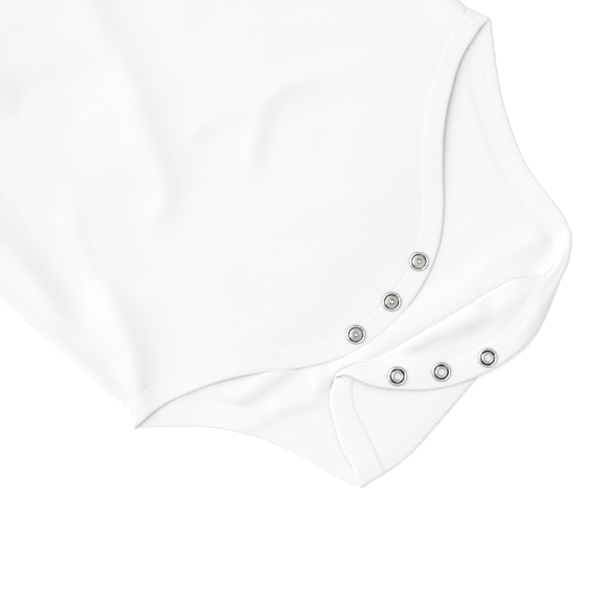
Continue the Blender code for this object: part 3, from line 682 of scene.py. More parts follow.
def edge_places(outline, depth, corner, rows, shares, creases=None):
    """Places along a leg edge for the left side, the end and the right side."""
    edge = inset(outline, depth)
    middle = lengths_along(outline)[-1] / 2
    along = lengths_along(edge)
    share_along = along / along[-1] * 2 * middle
    left_corner, right_corner = middle - corner[0], middle + corner[1]
    across = left_corner + (right_corner - left_corner) * (shares + 1) / 2
    end = read_at(edge, share_along, across)
    if creases is None:
        left = np.linspace(0, left_corner, rows + 1)
        right = np.linspace(2 * middle, right_corner, rows + 1)
        return read_at(edge, share_along, left), end, read_at(edge, share_along, right)
    way = fold_way(edge)
    half = len(edge) // 2
    left_at = np.interp(creases, way[:half], share_along[:half])
    right_at = np.interp(creases, way[:half:-1], share_along[:half:-1])
    sides = []
    for start, folds, stop in ((0, left_at, left_corner), (2 * middle, right_at, right_corner)):
        before = np.linspace(start, folds[0], rows + 1)[:-1]
        after = np.linspace(folds[-1], stop, FLAP_ROWS + 1)[1:]
        sides.append(read_at(edge, share_along, np.concatenate([before, folds, after])))
    return sides[0], end, sides[1]


def crease_ways():
    """Ways through the pleat that get a row: close together in the bends."""
    bend = np.linspace(0, 1, BEND_STEPS + 1)
    between = np.linspace(1, 2, BETWEEN_STEPS + 1)[1:-1]
    return np.concatenate([bend, between, 2 + bend])


def front_places(depth):
    return edge_places(FRONT_OUTLINE, depth, FRONT_CORNERS, FRONT_LEG_ROWS, FRONT_SHARES)


def back_places(depth):
    ways = crease_ways()
    return edge_places(BACK_OUTLINE, depth, BACK_CORNERS, BACK_LEG_ROWS, BACK_SHARES, ways)


def front_grid(depth):
    """Flat places of the front, down to this depth in from its leg edge."""
    left, end, right = front_places(depth)
    hip = level_row(right[0, 0], right[0, 1], FRONT_SHARES)
    leg = patch(hip, end, left, right, FRONT_SHARES)
    upper = upper_grid(FRONT_SHARES, FRONT_NECK_DROP, Place(*right[0]))
    return np.concatenate([upper, leg[1:]])


def back_grid(depth):
    """Flat places of the back, down to this depth in from its leg edge."""
    left, end, right = back_places(depth)
    ways = crease_ways()
    first, last = BACK_LEG_ROWS, BACK_LEG_ROWS + len(ways) - 1
    pleat = []
    for index, way in enumerate(ways, first):
        ends = np.array((left[index], right[index]))
        radii = round_apex(ends)[0]
        pleat.append(place_on_fold(way, radii[0] + (radii[1] - radii[0]) * (BACK_SHARES + 1) / 2))
    hip = level_row(right[0, 0], right[0, 1], BACK_SHARES)
    leg = patch(hip, pleat[0], left[: first + 1], right[: first + 1], BACK_SHARES)
    flap = patch(pleat[-1], end, left[last:], right[last:], BACK_SHARES)
    upper = upper_grid(BACK_SHARES, BACK_NECK_DROP, Place(*right[0]))
    return np.concatenate([upper, leg[1:], np.array(pleat)[1:], flap[1:]])


# --- meshes ---

JOINED = 0.002 * MM  # points that lie closer together than this become one


def in_metres(points):
    """Points of the lie in metres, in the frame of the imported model."""
    return (np.asarray(points) + (0.0, HIP_LINE_Y, 0.0)) * MM


def add_mesh(name, points, faces, material, attributes=()):
    """An object from points of the lie, with its coincident points joined."""
    mesh = bpy.data.meshes.new(name)
    mesh.from_pydata(in_metres(points).tolist(), [], faces)
    for label, values in attributes:
        kind = "FLOAT_VECTOR" if values.ndim == 2 else "FLOAT"
        layer = mesh.attributes.new(label, kind, "POINT")
        layer.data.foreach_set("vector" if values.ndim == 2 else "value", values.ravel())
    mesh.materials.append(material)
    work = bmesh.new()
    work.from_mesh(mesh)
    bmesh.ops.remove_doubles(work, verts=work.verts, dist=JOINED)
    work.to_mesh(mesh)
    work.free()
    mesh.shade_smooth()
    made = bpy.data.objects.new(name, mesh)
    bpy.context.scene.collection.objects.link(made)
    return made


def grid_normals(grid, ring):
    """Unit normals of a grid of points; with ring the last row joins the first."""
    if ring:
        down = np.roll(grid, -1, axis=0) - np.roll(grid, 1, axis=0)
    else:
        down = np.gradient(grid, axis=0)
    along = np.gradient(grid, axis=1)
    return unit(np.cross(down, along)), unit(down), unit(along)


def add_shell(name, grid, cut, wall, material, ring=False, turned=False):
    """A closed thin shell on both sides of a grid of middle points, with its edges rounded.

    cut holds the flat place of each point of the grid, which the knit pattern follows.
    """
    normal, down, along = grid_normals(grid, ring)
    if turned:
        normal = -normal
    half = np.broadcast_to(np.asarray(wall, float) / 2, grid.shape[:2])[..., None]
    upper, lower = grid + normal * half, grid - normal * half
    right_rim = grid[:, -1:] + along[:, -1:] * half[:, -1:]
    left_rim = grid[:, :1] - along[:, :1] * half[:, :1]
    loops = np.concatenate([upper, right_rim, lower[:, ::-1], left_rim], axis=1)
    cuts = np.concatenate([cut, cut[:, -1:], cut[:, ::-1], cut[:, :1]], axis=1)
    if not ring:
        rims = []
        for row, way in ((0, -1.0), (-1, 1.0)):
            edge = grid[row] + way * down[row] * half[row]
            rims.append(np.concatenate([edge, edge[-1:], edge[::-1], edge[:1]]))
        loops = np.concatenate([rims[0][None], loops, rims[1][None]])
        cuts = np.concatenate([cuts[:1], cuts, cuts[-1:]])
    faces = grid_faces(loops.shape[0], loops.shape[1], wrap_rows=ring, turned=turned)
    return add_mesh(name, loops.reshape(-1, 3), faces, material, flat_places(cuts))


def flat_places(cuts):
    """The flat places of a mesh's points, as its attribute that the knit pattern follows."""
    return (("cut", np.insert(cuts.reshape(-1, 2), 2, 0.0, axis=1)),)


def grid_faces(rows, columns, wrap_rows, wrap_columns=True, turned=False):
    """Quads of a grid; wrapped, its last row joins its first, and so do its columns."""
    faces = []
    for i in range(rows if wrap_rows else rows - 1):
        this, after = i * columns, (i + 1) % rows * columns
        for j in range(columns if wrap_columns else columns - 1):
            k = (j + 1) % columns
            quad = (this + j, after + j, after + k, this + k)
            faces.append(quad[::-1] if turned else quad)
    return faces


def dress(piece, slot, *nodes):
    """Hands a finished piece to the frame: what it rides on and what it stands for."""
    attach(piece, BODY)
    if nodes:
        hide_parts(*nodes)


def grid_area(cut):
    """Area of a grid of flat places, in square metres."""
    a, b = cut[1:, 1:] - cut[:-1, :-1], cut[1:, :-1] - cut[:-1, 1:]
    return float(np.sum(np.abs(a[..., 0] * b[..., 1] - a[..., 1] * b[..., 0])) / 2) * MM * MM


# --- materials ---

PAINTED_SHADE_LEFT = 0.06  # share of the clean metal's reflection that is left where dark shade is painted into the grooves and onto the disc
GREYER = 0.985  # share of the cotton's colour in its slightly greyer patches
MADE = {}  # each material, by the function that makes it


def add_node(tree, kind, inputs=(), **settings):
    """Adds a shader node. inputs maps its sockets to values, to sockets or to nodes' first outputs.

    A socket goes by its number where names repeat: 6 and 7 are the colours that a mix goes between.
    """
    node = tree.nodes.new("ShaderNode" + kind)
    for name, value in settings.items():
        setattr(node, name, value)
    for name, value in dict(inputs).items():
        if isinstance(value, bpy.types.Node):
            value = value.outputs[0]
        if isinstance(value, bpy.types.NodeSocket):
            tree.links.new(value, node.inputs[name])
        else:
            node.inputs[name].default_value = value
    return node


def start_material(name):
    """A new material with an empty tree, and the function that adds a node to it."""
    material = bpy.data.materials.new(name)
    material.use_nodes = True
    material.node_tree.nodes.clear()
    return material, partial(add_node, material.node_tree)


def the_material(make, settings):
    """The material that this function makes, made once."""
    if make not in MADE:
        MADE[make] = make(settings)
    return MADE[make]


def finish_cotton(add, cut, knit, relief, patches, colour):
    """The nap over the knit's height, the slight mottling and the matt surface of bleached cotton."""
    strength, depth = relief
    fuzz = add("TexNoise", {"Vector": cut, "Scale": 1.6, "Detail": 4.0, "Roughness": 0.6})
    height = add("Math", {0: fuzz, 1: 1.2, 2: knit}, operation="MULTIPLY_ADD")
    bump = add("Bump", {"Height": height, "Strength": strength, "Distance": depth * MM})
    mottle = add("TexNoise", {"Vector": cut, "Scale": patches, "Detail": 3.0})
    greyer = [GREYER * part for part in colour]
    shades = add("Mix", {0: mottle, 6: (*greyer, 1.0), 7: (*colour, 1.0)}, data_type="RGBA")
    look = {"Base Color": shades.outputs[2], "Roughness": 0.92, "Specular IOR Level": 0.2}
    nap = {"Sheen Weight": 0.04, "Sheen Roughness": 0.5, "Normal": bump}
    add("OutputMaterial", {"Surface": add("BsdfPrincipled", look | nap)})


def jersey_material(cloth):
    """Fine single jersey of bleached combed cotton: matt, with a short soft nap.

    The nap gives the eye a faint bright sheen at the edges of a fold, and the knit's V-shaped
    stitches a barely seen grain. The real wales are 0.7 mm apart and too fine to show, so they
    are drawn 1.3 mm apart.
    """
    material, add = start_material("white combed cotton jersey, knitted")
    cut = add("Attribute", attribute_name="cut").outputs["Vector"]
    scale = (MM / cloth.wale, 1.25 * MM / cloth.wale, 1.0)
    axes = add("SeparateXYZ", {0: add("VectorMath", {0: cut, 1: scale}, operation="MULTIPLY")})
    arm = add("Math", {0: axes.outputs[0], 1: 0.5}, operation="PINGPONG")
    legs = add("Math", {0: arm, 1: 2 * math.pi}, operation="MULTIPLY")
    course = add("Math", {0: axes.outputs[1], 1: 2 * math.pi}, operation="MULTIPLY")
    slant = add("Math", {0: legs, 1: 1.2, 2: course}, operation="MULTIPLY_ADD")
    leg_height = add("Math", {0: legs}, operation="SINE")
    loop_height = add("Math", {0: slant}, operation="SINE")
    stitches = add("Math", {0: loop_height, 1: 0.35, 2: leg_height}, operation="MULTIPLY_ADD")
    finish_cotton(add, cut, stitches, (0.35, 0.05), 0.035, cloth.jersey_colour)
    return material


def rib_material(cloth):
    """1x1 rib of the same bleached cotton, folded over the raw edge.

    It gives the eye fine ridges square to the band's edge, softened by the nap.
    """
    material, add = start_material("white combed cotton rib, knitted 1x1")
    cut = add("Attribute", attribute_name="cut").outputs["Vector"]
    turn = 2 * math.pi * MM / cloth.rib
    along = add("SeparateXYZ", {0: cut})
    ridges = add("Math", {0: add("Math", {0: along, 1: turn}, operation="MULTIPLY")}, operation="SINE")
    finish_cotton(add, cut, ridges, (0.2, 0.04), 0.05, cloth.rib_colour)
    return material


def thread_material(sewing):
    """Spun polyester sewing thread: a little smoother and brighter than the cotton under it."""
    material, add = start_material("white spun polyester thread")
    spot = add("TexCoord").outputs["Object"]
    twist = add("TexNoise", {"Vector": spot, "Scale": 6000.0, "Detail": 2.0})
    bump = add("Bump", {"Height": twist, "Strength": 0.3, "Distance": 0.03 * MM})
    look = {"Base Color": (*sewing.thread_colour, 1.0), "Roughness": 0.55, "Sheen Weight": 0.2}
    add("OutputMaterial", {"Surface": add("BsdfPrincipled", look | {"Normal": bump})})
    return material


def nickel_material(snaps):
    """Nickel-plated pressed brass: bright, with faint rings from the press and the barrel polish.

    It gives the eye hard dark and light rings where the turned profile mirrors the room, and painted
    dark shade in the grooves and on the disc, mottled in patches, in place of shade and dark
    reflections.
    """
    material, add = start_material("nickel-plated brass, pressed")
    radius = add("Attribute", attribute_name="turned").outputs["Fac"]
    tarnish = add("Attribute", attribute_name="tarnish").outputs["Fac"]
    grain = {"W": radius, "Scale": 3.5, "Detail": 3.0, "Roughness": 0.7}
    rings = add("TexNoise", grain, noise_dimensions="1D")
    bump = add("Bump", {"Height": rings, "Strength": 0.5, "Distance": 0.06 * MM})
    spot = add("TexCoord").outputs["Object"]
    # noise that mottles the painted shade in patches, like uneven crescents of dark reflection
    shade_mottle = add("TexNoise", {"Vector": spot, "Scale": 420.0, "Detail": 3.0})
    spans = {"From Min": 0.35, "From Max": 0.62, "To Min": 0.45, "To Max": 1.15}
    patchy_painted_shade = add("MapRange", spans | {"Value": shade_mottle})
    # painted shade: the mottled groove and disc shares darken the metal's colour in place of shade and
    # dark reflections
    painted_dark = add("Math", {0: tarnish, 1: patchy_painted_shade}, operation="MULTIPLY", use_clamp=True)
    clean, dark = snaps.metal_colour, [PAINTED_SHADE_LEFT * part for part in snaps.metal_colour]
    shades = add("Mix", {0: painted_dark, 6: (*clean, 1.0), 7: (*dark, 1.0)}, data_type="RGBA")
    roughness = add("MapRange", {"Value": painted_dark, "To Min": 0.14, "To Max": 0.45})
    look = {"Base Color": shades.outputs[2], "Metallic": 1.0, "Roughness": roughness}
    add("OutputMaterial", {"Surface": add("BsdfPrincipled", look | {"Normal": bump})})
    return material


def paper_material(stage):
    """A roll of matt white backdrop paper, so bright that only contact shadows show on it."""
    material, add = start_material("matt white backdrop paper")
    look = {"Base Color": (*stage.floor_colour, 1.0), "Roughness": 1.0, "Specular IOR Level": 0.0}
    glow = {"Emission Color": (1.0, 1.0, 1.0, 1.0), "Emission Strength": 0.06}
    add("OutputMaterial", {"Surface": add("BsdfPrincipled", look | glow)})
    return material


# --- panels ---

TUCK = 1.5  # how far a panel runs on under a band
ROLL_STEP = 0.4  # cloth between two rows of a rolled edge
SHOULDER_START = Change(NECK_HALF, 2.0)  # going out, the neck edge becomes the shoulder seam
NECK_TURNED_IN = 1.0  # how far down the neck edge is turned in


def roll_down(upper, lower, outward, steps=6):
    """Points that roll an edge of the upper layer out and down onto an edge of the lower one."""
    fatness = np.minimum((upper - lower)[:, 2:] / 2, FATTEST_ROLL)
    rolled = []
    for angle in np.linspace(0, math.pi, steps + 1)[1:]:
        share_up = (1 + math.cos(angle)) / 2
        rolled.append(lower + (upper - lower) * share_up + outward * fatness * math.sin(angle))
    return rolled


def roll_sides(grid, cut, left_lower, right_lower):
    """The grid and its flat places with both sides rolled down onto the lower layer's."""
    outward = np.array((1.0, 0.0, 0.0))
    left = roll_down(grid[:, 0], left_lower, -outward)
    right = roll_down(grid[:, -1], right_lower, outward)
    step = np.array((ROLL_STEP, 0.0))
    left_cut = [cut[:, 0] - step * (i + 1) for i in range(len(left))]
    right_cut = [cut[:, -1] + step * (i + 1) for i in range(len(right))]
    grids = [np.stack(left[::-1], axis=1), grid, np.stack(right, axis=1)]
    cuts = [np.stack(left_cut[::-1], axis=1), cut, np.stack(right_cut, axis=1)]
    return np.concatenate(grids, axis=1), np.concatenate(cuts, axis=1)


def roll_top(grid, cut):
    """The grid and its flat places with the shoulders rolled down, and the neck edge turned in."""
    top = grid[0]
    on_shoulder = past(SHOULDER_START, np.abs(top[:, 0]))
    lower = top.copy()
    lower[:, 2] = on_shoulder * PANEL_MIDDLE + (1 - on_shoulder) * (top[:, 2] - NECK_TURNED_IN)
    fall = np.array((NECK_Y - SHOULDER_Y, SHOULDER_X - NECK_HALF, 0.0))
    ones = np.ones(len(top))
    outward = unit(fall) * np.stack([np.sign(top[:, 0]), ones, 0 * ones], axis=1)
    rolled = roll_down(top, lower, outward * on_shoulder[:, None])
    rolled_cut = [cut[0] - (0.0, ROLL_STEP * (i + 1)) for i in range(len(rolled))]
    return np.concatenate([rolled[::-1], grid]), np.concatenate([rolled_cut[::-1], cut])


class BODYSUIT_OT_front(bpy.types.Operator):
    """Adds the front panel, with its creases and its rolled side seams"""

    bl_idname = "bodysuit.front"
    bl_label = "Front"

    def execute(self, context):
        cloth = context.scene.bodysuit_cloth
        cut = front_grid(cloth.leg_band / MM - TUCK)
        grid = lay_front(cut, PANEL_MIDDLE, cloth.crease)
        off_side = half_width(grid[..., 1]) - np.abs(cut[..., 0])
        side_seam = hump(off_side, SEAM_GROOVE_RUN) * (grid[..., 1] < UNDERARM)
        grid[..., 2] -= SEAM_GROOVE * side_seam
        hip = back_places(cloth.leg_band / MM - TUCK)[2][0]
        y = grid[:, 0, 1]
        spread_out = np.interp(y, (-hip[1], HIP_GRID_TOP), (hip[0], BODY_HALF))
        side = np.where(y < HIP_GRID_TOP, spread_out, half_width(y))
        lower = np.stack([side, y, np.full(len(y), PANEL_MIDDLE)], axis=1)
        on_leg = (np.arange(len(y)) > ARMHOLE_ROWS + BODY_ROWS)[:, None]
        left = np.where(on_leg, grid[:, 0], lower * (-1, 1, 1))
        right = np.where(on_leg, grid[:, -1], lower)
        grid, cut = roll_top(*roll_sides(grid, cut, left, right))
        wall = cloth.jersey_wall / MM
        piece = add_shell("front", grid, cut, wall, the_material(jersey_material, cloth))
        dress(piece, "jersey", "front_panel")
        width, height = 2 * HIP_HALF * MM, (SHOULDER_Y + FRONT_BELOW) * MM
        min(grid_area(cut), width * height)
        return {"FINISHED"}


class BODYSUIT_OT_back(bpy.types.Operator):
    """Adds the back panel, with the pleat in its flap"""

    bl_idname = "bodysuit.back"
    bl_label = "Back"

    def execute(self, context):
        cloth = context.scene.bodysuit_cloth
        cut = back_grid(cloth.leg_band / MM - TUCK)
        grid = lay_back(cut, PANEL_MIDDLE, cloth.crease)
        wall = cloth.jersey_wall / MM
        piece = add_shell("back", grid, cut, wall, the_material(jersey_material, cloth))
        dress(piece, "jersey", "back_panel")
        return {"FINISHED"}


# --- sleeves and neckband ---


def sleeve_grid(side):
    """Rows of a flattened tube from the armhole to the cuff, round from the upper wall's fold."""
    stations, steps, turn_steps = 56, 52, 8
    armhole = evenly(armhole_edge(), stations + 1)[::-1]
    top = armhole[0] + SLEEVE_TOP * np.array((math.cos(SLEEVE_FALL), -math.sin(SLEEVE_FALL)))
    cuff_way = np.array((-math.sin(CUFF_TILT), -math.cos(CUFF_TILT)))
    cuff = np.linspace(top, top + CUFF_HALF_ROUND * cuff_way, stations + 1)
    low, high = PANEL_MIDDLE, UPPER_LAYER + PANEL_MIDDLE
    middle, radius = (low + high) / 2, (high - low) / 2
    share_round = np.linspace(0, 1, stations + 1)
    along = np.linspace(0, 1, steps + 1)[:, None]
    opening = smoothstep(along / SLEEVE_PUFF_RISE)
    clear_of_body = np.array((math.sin(CUFF_TILT), -math.cos(CUFF_TILT)))
    round_length = CUFF_HALF_ROUND + SLEEVE_WIDENS

    def row(station, height, out=(0.0, 0.0)):
        plan = armhole[station] + (cuff[station] - armhole[station]) * along + out
        return np.hstack([plan * (side, 1), height])

    level = np.ones_like(along)
    turns = np.linspace(0, math.pi, turn_steps + 1)[1:-1]
    puff = SLEEVE_PUFF * np.sin(math.pi * share_round)
    rows = [row(i, high + puff[i] * opening) for i in range(stations + 1)]
    around = list(share_round * round_length)
    for t in turns:
        out = radius * math.sin(t) * clear_of_body
        rows.append(row(-1, level * (middle + radius * math.cos(t)), out))
        around.append(round_length + radius * t)
    rows += [row(i, level * low) for i in range(stations + 1)[::-1]]
    around += list(round_length + FOLD_CLOTH + share_round * round_length)
    for t in turns:
        out = -radius * math.sin(t) * cuff_way
        rows.append(row(0, level * (middle - radius * math.cos(t)), out))
        around.append(2 * round_length + FOLD_CLOTH + radius * t)
    grid = np.array(rows)
    upper = grid[: stations + 1]
    off_ends = (past(OFF_ARMHOLE, along) * past(OFF_HEM, -along))[:, 0]
    from_fold = np.minimum(share_round, 1 - share_round)
    off_folds = smoothstep(from_fold / OFF_SLEEVE_FOLDS)
    creases = creased(upper[..., 0], upper[..., 1], SLEEVE_CREASES[side])
    upper[..., 2] += creases * off_folds[:, None] * off_ends
    return grid, places_of(np.array(around), along[:, 0] * SLEEVE_TOP)


def places_of(rows, columns):
    """Flat places of a grid from what its rows and its columns stand for."""
    return np.stack(np.broadcast_arrays(rows[:, None], columns[None]), axis=-1)


def hem_wall(cut, cloth):
    """Thickness of a sleeve's cloth, which is doubled in its hem."""
    return cloth.jersey_wall / MM * (1 + HEM_EXTRA * past(HEM_STEP, cut[..., 1]))


class BODYSUIT_OT_sleeves(bpy.types.Operator):
    """Adds both short sleeves, with a turned hem at each cuff"""

    bl_idname = "bodysuit.sleeves"
    bl_label = "Sleeves"

    def execute(self, context):
        cloth = context.scene.bodysuit_cloth
        for name, side in (("sleeve_left", 1), ("sleeve_right", -1)):
            grid, cut = sleeve_grid(side)
            wall, cotton = hem_wall(cut, cloth), the_material(jersey_material, cloth)
            label = name.replace("sleeve", "short_sleeve")
            piece = add_shell(label, grid, cut, wall, cotton, ring=True, turned=side < 0)
            dress(piece, "jersey", name)
        return {"FINISHED"}


NECK_LAP = 0.4  # how far the neckband reaches in under its seam
NECK_RIM, NECK_FULLER = 0.65, 0.35  # share of the wall at the band's edges, and more in its middle


def neckband_grid(width):
    """Rows across the rib ring, from its seam to its edge: front, fold, back, fold."""
    across_front, across_back, turn_steps, steps = 90, 70, 10, 10
    low, high = BAND_MIDDLE, 2 * BAND_MIDDLE + GAP + BAND_MIDDLE
    middle, radius = (low + high) / 2, (high - low) / 2
    out_to = np.linspace(-NECK_LAP, width, steps + 1)[:, None]

    def row(share_of_turn, drop, height, out=0.0):
        turn, lean = share_of_turn * math.pi / 2, share_of_turn * NECK_FOLD_LEAN
        inward = np.array((-math.sin(lean), math.cos(lean)))
        outward = np.sign(share_of_turn) * np.array((math.cos(lean), math.sin(lean)))
        seam = np.array((NECK_HALF * math.sin(turn), NECK_Y - drop * math.cos(turn)))
        plan = seam + GAP * inward + out * outward + out_to * inward
        return np.hstack([plan, np.full((len(out_to), 1), height)])

    turn = np.linspace(0, math.pi, turn_steps + 1)[1:-1]
    rows = [row(s, FRONT_NECK_DROP, high) for s in np.linspace(-1, 1, across_front + 1)]
    rows += [row(1, 0, middle + radius * math.cos(t), radius * math.sin(t)) for t in turn]
    rows += [row(s, BACK_NECK_DROP, low) for s in np.linspace(1, -1, across_back + 1)]
    rows += [row(-1, 0, middle - radius * math.cos(t), radius * math.sin(t)) for t in turn]
    grid = np.array(rows)
    return grid, places_of(lengths_along(grid[:, 0]), out_to[:, 0])


class BODYSUIT_OT_neckband(bpy.types.Operator):
    """Adds the rib neckband, folded over at both shoulders"""

    bl_idname = "bodysuit.neckband"
    bl_label = "Neckband"

    def execute(self, context):
        cloth = context.scene.bodysuit_cloth
        width = cloth.neck_band / MM
        grid, cut = neckband_grid(width)
        share_out = np.clip((cut[..., 1] + NECK_LAP) / (width + NECK_LAP), 0, 1)
        fullness = NECK_RIM + NECK_FULLER * np.sin(math.pi * share_out) ** 0.5
        wall = cloth.band_wall / MM * fullness
        piece = add_shell("rib_neckband", grid, cut, wall, the_material(rib_material, cloth), ring=True)
        dress(piece, "rib", "neckband")
        return {"FINISHED"}


# --- leg bands ---

# Section of a leg band: how far in from its edge, and the shares of the half wall over its middle.
# The rib runs out smoothly, but it ends in a step on the back's outer face.
Section = namedtuple("Section", "inwards smooth stepped")
BAND_SECTION = table(
    Section,
    (14.0, 0.16, 0.0), (13.0, 0.3, 0.06), (12.0, 0.44, 0.12), (11.4, 0.53, 0.16),
    (11.0, 0.6, 0.56), (10.5, 0.69, 0.88), (9.7, 0.83, 0.98), (9.0, 0.92, 0.98), (8.6, 0.91, 0.92),
    (8.2, 0.96, 0.98), (7.0, 1.0, 1.0), (5.9, 0.98, 0.98), (5.5, 0.94, 0.93), (5.1, 0.98, 0.98),
    (3.6, 1.0, 1.0), (2.0, 0.99, 0.99), (1.0, 0.94, 0.94), (0.45, 0.76, 0.76), (0.12, 0.42, 0.42),
    (0.0, 0.0, 0.0),
)


def band_faces(places, lay, wall, outer_up, ends=None):
    """The upper and lower face of a leg band, its flat places and its normals.

    ends gives what the band's ends roll down to, for the front's, which close onto the back's.
    """
    flat = []
    for section in BAND_SECTION:
        left, end, right = places(section.inwards)
        flat.append(np.concatenate([left, end[1:-1], right[::-1]]))
    flat = np.array(flat)
    grid = lay(flat)
    if ends is not None:
        grid, flat = roll_sides(grid, flat, *ends)
    normal, _, _ = grid_normals(grid, ring=False)
    up = np.array([section.smooth for section in BAND_SECTION])
    down = up if outer_up else np.array([section.stepped for section in BAND_SECTION])
    upper = grid + normal * (up * wall / 2)[:, None, None]
    lower = grid - normal * (down * wall / 2)[:, None, None]
    return upper, lower, flat, normal


def add_leg_band(name, upper, lower, flat, material):
    """The band round a leg edge, as a closed section run along it."""
    loops = np.concatenate([upper, lower[-2::-1]])
    depths = [section.inwards for section in BAND_SECTION]
    both = np.array(depths + depths[-2::-1])
    along = lengths_along(flat[-1])
    cuts = places_of(both, along)[..., ::-1]
    rows, columns = loops.shape[:2]
    faces = grid_faces(rows, columns, wrap_rows=True, wrap_columns=False)
    faces.append([i * columns for i in range(rows)])
    faces.append([i * columns + columns - 1 for i in range(rows)][::-1])
    piece = add_mesh(name, loops.reshape(-1, 3), faces, material, flat_places(cuts))
    return piece, along[-1]


def leg_band_faces(side, cloth):
    """The faces of the front's or the back's leg band; the front's ends close onto the back's."""
    wall = cloth.band_wall / MM
    on_back = partial(lay_back, middle=BAND_MIDDLE, crease_depth=cloth.crease)
    if side == "back":
        return band_faces(back_places, on_back, wall, False)
    on_front = partial(lay_front, middle=FRONT_BAND_MIDDLE, crease_depth=cloth.crease)
    rows = [back_places(section.inwards) for section in BAND_SECTION]
    ends = [on_back(np.array([row[side][0] for row in rows])) for side in (0, 2)]
    return band_faces(front_places, on_front, wall, True, ends)


class BODYSUIT_OT_leg_bands(bpy.types.Operator):
    """Adds the bands round the legs and the crotch, on the front and on the back"""

    bl_idname = "bodysuit.leg_bands"
    bl_label = "Leg Bands"

    def execute(self, context):
        cloth = context.scene.bodysuit_cloth
        rib = the_material(rib_material, cloth)
        for side, held in (("front", "laid"), ("back", "folded")):
            upper, lower, flat, _ = leg_band_faces(side, cloth)
            piece, run = add_leg_band(f"{side}_leg_rib", upper, lower, flat, rib)
            dress(piece, "rib", f"{side}_leg_band")
        return {"FINISHED"}


# --- stitches ---

STITCH_GAP = 0.25  # share of a stitch's length that is left before the next one
STRAIGHT = 0.85  # share of its length that a stitch keeps unless the cloth is folded under it
THREAD_RISE, THREAD_SUNK = 0.7, 0.55  # shares of the thread: how high it arches; how deep its ends are
THREAD_END, THREAD_FULLER = 0.6, 0.4  # share of its radius at the ends, and more in the middle
NECK_ROW, NECK_ROW_SHARE = 1.6, 0.97  # the neck's row: how far from the edge, and how much of it


def stitches_along(line, normals, sewing):
    """Start, end and normal of each stitch of a straight row along a line on the cloth."""
    along = lengths_along(line)
    length = sewing.stitch / MM
    count = int(along[-1] / (length * (1 + STITCH_GAP)))
    starts = (np.arange(count) + STITCH_GAP / 2) * along[-1] / count
    first, last = read_at(line, along, starts), read_at(line, along, starts + length)
    upright = unit(read_at(normals, along, starts + length / 2))
    straight = np.linalg.norm(last - first, axis=1) > STRAIGHT * length
    return first[straight], last[straight], upright[straight]


def stitches_between(line, other, normals, sewing):
    """The same for a zigzag between two lines that run side by side."""
    along = lengths_along(line)
    count = int(along[-1] / (sewing.stitch / MM))
    corners = np.linspace(0, along[-1], 2 * count + 1)
    even = (np.arange(len(corners)) % 2 == 0)[:, None]
    places = np.where(even, read_at(line, along, corners), read_at(other, along, corners))
    upright = unit(read_at(normals, along, (corners[1:] + corners[:-1]) / 2))
    width = np.median(np.linalg.norm(other - line, axis=1))
    straight = np.linalg.norm(np.diff(places, axis=0), axis=1) > STRAIGHT * width
    return places[:-1][straight], places[1:][straight], upright[straight]


def add_threads(name, rows, sewing):
    """Stitches as short arched pieces of thread, with their ends sunk into the cloth."""
    first, last, upright = (np.concatenate(part) for part in zip(*rows))
    rings, sides = 5, 6
    thread = sewing.thread / MM
    way = unit(last - first)
    aside = unit(np.cross(upright, way))
    share_along = np.linspace(0, 1, rings)
    arch = np.sin(math.pi * share_along)
    middle = first[:, None] + (last - first)[:, None] * share_along[:, None]
    middle = middle + upright[:, None] * (thread * (THREAD_RISE * arch - THREAD_SUNK))[:, None]
    turn = np.linspace(0, 2 * math.pi, sides, endpoint=False)
    cos, sin = np.cos(turn)[:, None], np.sin(turn)[:, None]
    round_thread = aside[:, None, None] * cos + upright[:, None, None] * sin
    radius = thread / 2 * (THREAD_END + THREAD_FULLER * arch)
    points = middle[:, :, None] + round_thread * radius[:, None, None]
    faces = []
    for start in range(0, len(first) * rings * sides, rings * sides):
        faces += [[start + j for j in range(sides)][::-1]]
        for ring in range(start, start + (rings - 1) * sides, sides):
            for j in range(sides):
                k = (j + 1) % sides
                faces.append((ring + j, ring + k, ring + sides + k, ring + sides + j))
        faces += [[start + (rings - 1) * sides + j for j in range(sides)]]
    return add_mesh(name, points.reshape(-1, 3), faces, the_material(thread_material, sewing))


def row_at(face, depth):
    """The line on a band's face at a depth in from its edge."""
    depths = [-section.inwards for section in BAND_SECTION]
    index = np.interp(-depth, depths, range(len(depths)))
    low = int(index)
    return face[low] + (face[low + 1] - face[low]) * (index - low)


